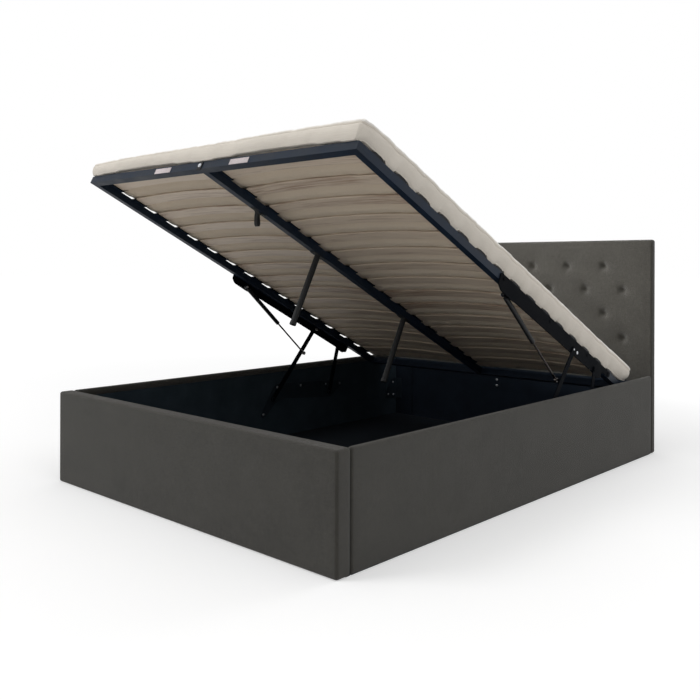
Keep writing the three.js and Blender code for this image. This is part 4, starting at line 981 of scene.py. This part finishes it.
def mattress_shape(x, s, level, low, high):
    """Points before the skin swells, and the share of the border at each."""
    under, over = mattress_heights(x, s, low, high)
    under = mattress_underside(x, s, under, high)
    over = mattress_top(s, over, high, quilt(x, s, low, high))
    height = under + level * (over - under)

    # Side and end borders, which lean and tuck in towards the base.
    middle = (low[1] + high[1]) / 2
    reach = (high[1] - low[1]) / 2
    rounding = MATTRESS_ROUNDING
    side = np.clip((np.abs(x) - (high[0] - rounding)) / rounding, 0, 1)
    end = np.clip((np.abs(s - middle) - (reach - rounding)) / rounding, 0, 1)
    tuck = np.clip(1 - level / LOWER_TUCK_LEVEL, 0, 1) ** 2
    lean = FOOT_TUCK * tuck + FOOT_LEAN * np.clip(level - LOWER_TUCK_LEVEL, 0, 1)
    x = x - np.sign(x) * side * (SIDE_TUCK * tuck + MATTRESS_SIDE_BULGE)
    s = s - np.sign(s - middle) * end * (lean + MATTRESS_SIDE_BULGE)
    lumps = soft_noise(np.stack([x, s, level * 0], 1), MATTRESS_LUMP_SIZE, seed=53)
    height = height + MATTRESS_RIPPLE * lumps * level
    return np.stack([x, s, height], 1), np.maximum(side, end)


def mattress():
    """The mattress as one skin: the ticking, the lighter binding at its rim, partly a painted
    highlight, and the cloth of its base.
    """
    low, high = lid_box("mattress")
    points, faces = mattress_block(low, high)
    x, s, level = points[:, 0], points[:, 1], points[:, 2] / MATTRESS_NOMINAL
    inward = high[0] - np.abs(x)
    covered = (level < MATTRESS_BOTTOM_LEVEL) & (inward > BASE_CLOTH_MARGIN)
    covered = covered & (s > low[1] + 2 * BASE_CLOTH_MARGIN)
    points, border = mattress_shape(x, s, level, low, high)
    x, s = points[:, 0], points[:, 1]
    lines = quilt(x, s, low, high) > QUILT_HELD
    seam = np.abs(level - SEAM_LEVEL) < SEAM_WIDTH
    held = (level < MATTRESS_HELD_LEVEL) | seam | (lines & (level > MATTRESS_TOP_LEVEL))
    skin = [face for face in faces if not all(level[i] < MATTRESS_BOTTOM_LEVEL for i in face)]
    swell = border_swell(x, s, level) * border
    points = inflate(points, skin, held, MATTRESS_PRESSURE, MATTRESS_SLACK, MATTRESS_CAP)
    points = points + normals_of(points, faces) * swell[:, None]
    piece = mesh_piece("mattress_body", on_lid(points), faces, ticking)
    piece.data.materials.append(base_cloth)
    piece.data.materials.append(tape_and_highlight)
    # The rim band takes the lighter binding colour: partly a painted highlight.
    tape_and_highlight_band = (level > TAPE_AND_HIGHLIGHT_LEVELS[0]) & (level < TAPE_AND_HIGHLIGHT_LEVELS[1]) & (border > 0)
    for face in piece.data.polygons:
        if all(covered[i] for i in face.vertices):
            face.material_index = BASE_CLOTH_INDEX
        elif all(tape_and_highlight_band[i] for i in face.vertices):
            face.material_index = TAPE_AND_HIGHLIGHT_INDEX
    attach(piece, "lid")
    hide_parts("mattress")


mattress()


# Pull strap: webbing folded into a hanging loop, as the CAD band lies.
def strap():
    """The CAD band with rounded edges."""
    source = NODES["pull_strap"]
    piece = bpy.data.objects.new("pull_strap_webbing", source.data.copy())
    bpy.context.scene.collection.objects.link(piece)
    piece.data.materials.clear()
    piece.data.materials.append(webbing)
    work = bmesh.new()
    work.from_mesh(piece.data)
    bmesh.ops.remove_doubles(work, verts=work.verts, dist=STRAP_MERGE)
    flat = math.radians(STRAP_FLAT_DEGREES)
    bmesh.ops.dissolve_limit(work, angle_limit=flat, verts=work.verts, edges=work.edges)
    corner = math.radians(STRAP_EDGE_DEGREES)
    bmesh.ops.bevel(
        work,
        geom=[edge for edge in work.edges if edge.calc_face_angle(0) > corner],
        offset=STRAP_ROUNDING,
        segments=2,
        affect="EDGES",
    )
    work.to_mesh(piece.data)
    work.free()
    piece.data.shade_smooth()
    sharpen(piece, degrees=40)
    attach(piece, "lid")
    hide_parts("pull_strap")


strap()


# Small fittings.
def bolt_parts(centre, axis, radius=BOLT_RADIUS, height=BOLT_HEIGHT):
    """A washer under a six-sided head with a small chamfer."""
    axis = Vector(axis)
    washer = [(radius * r, WASHER_THICKNESS * h) for r, h in WASHER_PROFILE_SHARES]
    head = [(radius, WASHER_THICKNESS)]
    head += [(radius * r, height * h) for r, h in HEAD_PROFILE_SHARES]
    return [turned(washer, ROUND_SIDES, centre, axis), turned(head, HEX_SIDES, centre, axis)]


def foot_pads():
    """Two blank pads on the front of the foot tube."""
    parts = []
    for middle in PAD_MIDDLES:
        low = (middle - PAD_SIZE[0] / 2, -PAD_SIZE[2] - FITTING_GAP, PAD_LEVEL - PAD_SIZE[1] / 2)
        high = (middle + PAD_SIZE[0] / 2, -FITTING_GAP, PAD_LEVEL + PAD_SIZE[1] / 2)
        points, faces = bevelled_box(low, high, PAD_ROUNDING)
        parts.append((on_lid(points), faces))
    piece = mesh_piece("foot_tube_pads", *together(parts), pad_felt)
    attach(piece, "lid")


def centre_clip():
    """The plate that holds the centre rail on the foot tube, with its bolt."""
    low = (CLIP_X - CLIP_HALF_WIDTH, -CLIP_THICKNESS - FITTING_GAP, CLIP_LEVELS[0])
    high = (CLIP_X + CLIP_HALF_WIDTH, -FITTING_GAP, CLIP_LEVELS[1])
    points, faces = bevelled_box(low, high, CLIP_ROUNDING)
    piece = mesh_piece("rail_clip", on_lid(points), faces, clip_steel)
    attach(piece, "lid")
    face = on_lid([(CLIP_X, -CLIP_THICKNESS - FITTING_GAP, CLIP_BOLT_LEVEL)])[0]
    bolt = mesh_piece("rail_clip_bolt", *together(bolt_parts(face, -ALONG)), zinc, smooth=False)
    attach(bolt, "lid")


foot_pads()
centre_clip()


# Bolt heads on the pivots and brackets.
def joint_place(name):
    """Place of a joint at rest."""
    return next(j for j in frame["joints"] if j["name"] == name)["pos_m"]


def screws_on(node, plane, axis):
    """A screw on each round head that the node has on a plane across the bed."""
    points = node_points(node)
    groups = []
    for p in points[np.abs(points[:, 0] - plane) < PLANE_SLACK]:
        for group in groups:
            if np.linalg.norm(group[0] - p) < HEAD_SPAN:
                group.append(p)
                break
        else:
            groups.append([p])
    parts = []
    for group in groups:
        if len(group) >= HEAD_CORNERS:
            centre = (np.min(group, axis=0) + np.max(group, axis=0)) / 2
            parts += bolt_parts(centre, axis, SCREW_RADIUS, SCREW_HEIGHT)
    return parts


def bolt_on(node, joint, sign, *size):
    """A bolt at a joint, on the face of the node towards the middle of the bed."""
    low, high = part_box(node)
    _, y, z = joint_place(joint)
    return bolt_parts((low[0] if sign > 0 else high[0], y, z), (-sign, 0, 0), *size)


def lid_screws(node, sign):
    """Two screws on the outer face of the lid's bracket."""
    low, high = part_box(node)
    outer_face = high[0] if sign > 0 else low[0]
    _, y, z = joint_place("lid_pivot")
    away = (outer_face, y + LID_BOLT_AWAY[0], z + LID_BOLT_AWAY[1])
    parts = []
    for place in ((outer_face, y, z), away):
        parts += bolt_parts(place, (sign, 0, 0), SCREW_RADIUS, SCREW_HEIGHT)
    return parts


def pivot_bolts():
    """All bolt heads, as one piece for each body and finish."""
    bright = {"base": [], "front_links": [], "lid": []}
    dark = []
    strut_bolt = (STRUT_BOLT_RADIUS, STRUT_BOLT_HEIGHT)
    for sign, side in ((1, "right"), (-1, "left")):
        inward = (-sign, 0, 0)
        for joint in ("lift_hinge", "rear_link_pivot"):
            dark += bolt_on("base_bracket_" + side, joint, sign)
        bright["front_links"] += bolt_on("front_link_" + side, "lid_pivot", sign)
        bright["lid"] += bolt_on("lid_bracket_" + side, "strut_top_pivot", sign, *strut_bolt)
        bright["lid"] += lid_screws("lid_bracket_" + side, sign)
        bright["base"] += screws_on("base_bracket_" + side, LOW_HEAD_PLANE * sign, inward)
        bright["base"] += screws_on("corner_bracket_" + side, CORNER_HEAD_PLANE * sign, inward)
    panel_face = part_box("head_end_panel")[1][1] - END_PANEL_THICKNESS
    for x, z in END_PANEL_SCREWS:
        bright["base"] += bolt_parts((x, panel_face, z), (0, -1, 0), SCREW_RADIUS, SCREW_HEIGHT)
    for body, parts in bright.items():
        piece = mesh_piece("bright_bolts_" + body, *together(parts), zinc, smooth=False)
        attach(piece, body)
    piece = mesh_piece("dark_bolts_base", *together(dark), bracket_steel, smooth=False)
    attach(piece, "base")


pivot_bolts()


# Floor, world, lamps and camera.
def floor():
    """A pale matt floor that a camera sees as white, but for the shadow on it."""
    points = [(-FLOOR_HALF, -FLOOR_HALF, 0), (FLOOR_HALF, -FLOOR_HALF, 0)]
    points += [(FLOOR_HALF, FLOOR_HALF, 0), (-FLOOR_HALF, FLOOR_HALF, 0)]
    made = Finish("floor_paint", roughness=0.9)
    output = made.tree.nodes["Material Output"]
    rays = made.add("ShaderNodeLightPath")
    seen = made.math("MAXIMUM", rays.outputs["Is Camera Ray"], rays.outputs["Is Glossy Ray"])
    seen = made.math("MAXIMUM", seen, rays.outputs["Is Transmission Ray"])
    away = made.add("ShaderNodeVectorMath", Vector=made.place)
    away.operation = "LENGTH"
    near = {"From_Min": FLOOR_NEAR, "To_Min": FLOOR_GLOW_NEAR}
    far = {"From_Max": FLOOR_FAR, "To_Max": FLOOR_GLOW_FAR}
    glow = made.add("ShaderNodeMapRange", Value=away.outputs["Value"], **near, **far)
    flat = made.add("ShaderNodeBsdfDiffuse")
    flat.inputs["Color"].default_value = (FLOOR_TONE, FLOOR_TONE, FLOOR_TONE, 1)
    lit = made.add("ShaderNodeEmission")
    made.put(lit.inputs["Strength"], made.math("MULTIPLY", seen, glow.outputs["Result"]))
    both = made.add("ShaderNodeAddShader")
    made.put(both.inputs[0], flat.outputs["BSDF"])
    made.put(both.inputs[1], lit.outputs["Emission"])
    made.put(output.inputs["Surface"], both.outputs["Shader"])
    piece = mesh_piece("floor", points, [(0, 1, 2, 3)], made.material, smooth=False)


def world():
    """Even light all round, which a camera sees as white."""
    made = bpy.data.worlds.new("studio")
    bpy.context.scene.world = made
    made.use_nodes = True
    tree = made.node_tree
    sky = tree.nodes["Background"]
    sky.inputs["Color"].default_value = (1, 1, 1, 1)
    rays = tree.nodes.new("ShaderNodeLightPath")
    seen = rays.outputs["Is Camera Ray"]
    for other in ("Is Glossy Ray", "Is Transmission Ray"):
        either = tree.nodes.new("ShaderNodeMath")
        either.operation = "MAXIMUM"
        tree.links.new(seen, either.inputs[0])
        tree.links.new(rays.outputs[other], either.inputs[1])
        seen = either.outputs[0]
    strength = tree.nodes.new("ShaderNodeMapRange")
    strength.inputs["To Min"].default_value = WORLD_LIGHT
    strength.inputs["To Max"].default_value = 1.0
    tree.links.new(seen, strength.inputs["Value"])
    tree.links.new(strength.outputs["Result"], sky.inputs["Strength"])


def lamp(name, place, size, power, spread=180, aim=AIM):
    """A square area lamp that points at its aim."""
    data = bpy.data.lights.new(name, "AREA")
    data.spread = math.radians(spread)
    data.shape = "SQUARE"
    data.size = size
    data.energy = power
    made = bpy.data.objects.new(name, data)
    bpy.context.scene.collection.objects.link(made)
    made.location = place
    made.rotation_mode = "QUATERNION"
    made.rotation_quaternion = (aim - Vector(place)).to_track_quat("-Z", "Y")


def camera():
    """The camera of the photograph: level, with a shifted horizon and a slight roll."""
    ahead = Vector((-math.sin(CAMERA_AZIMUTH), math.cos(CAMERA_AZIMUTH), 0))
    right = Vector((math.cos(CAMERA_AZIMUTH), math.sin(CAMERA_AZIMUTH), 0))
    above = Vector((0, 0, 1))
    rolled_right = math.cos(CAMERA_ROLL) * right + math.sin(CAMERA_ROLL) * above
    rolled_up = -math.sin(CAMERA_ROLL) * right + math.cos(CAMERA_ROLL) * above
    data = bpy.data.cameras.new("camera")
    data.sensor_width = SENSOR
    data.lens = FOCAL_PIXELS / IMAGE_PIXELS * SENSOR
    data.shift_y = (HORIZON_PIXEL - IMAGE_PIXELS / 2) / IMAGE_PIXELS
    made = bpy.data.objects.new("camera", data)
    bpy.context.scene.collection.objects.link(made)
    turn = Matrix((rolled_right, rolled_up, -ahead)).transposed()
    made.matrix_world = Matrix.Translation(CAMERA_PLACE) @ turn.to_4x4()
    bpy.context.scene.camera = made


floor()
world()
lamp("key_lamp", **KEY)
lamp("fill_lamp", **FILL)
lamp("top_lamp", **TOP)
lamp("back_lamp", **BACK)
lamp("head_lamp", **HEAD, aim=HEAD_AIM)
camera()
bpy.context.scene.view_settings.view_transform = "Standard"
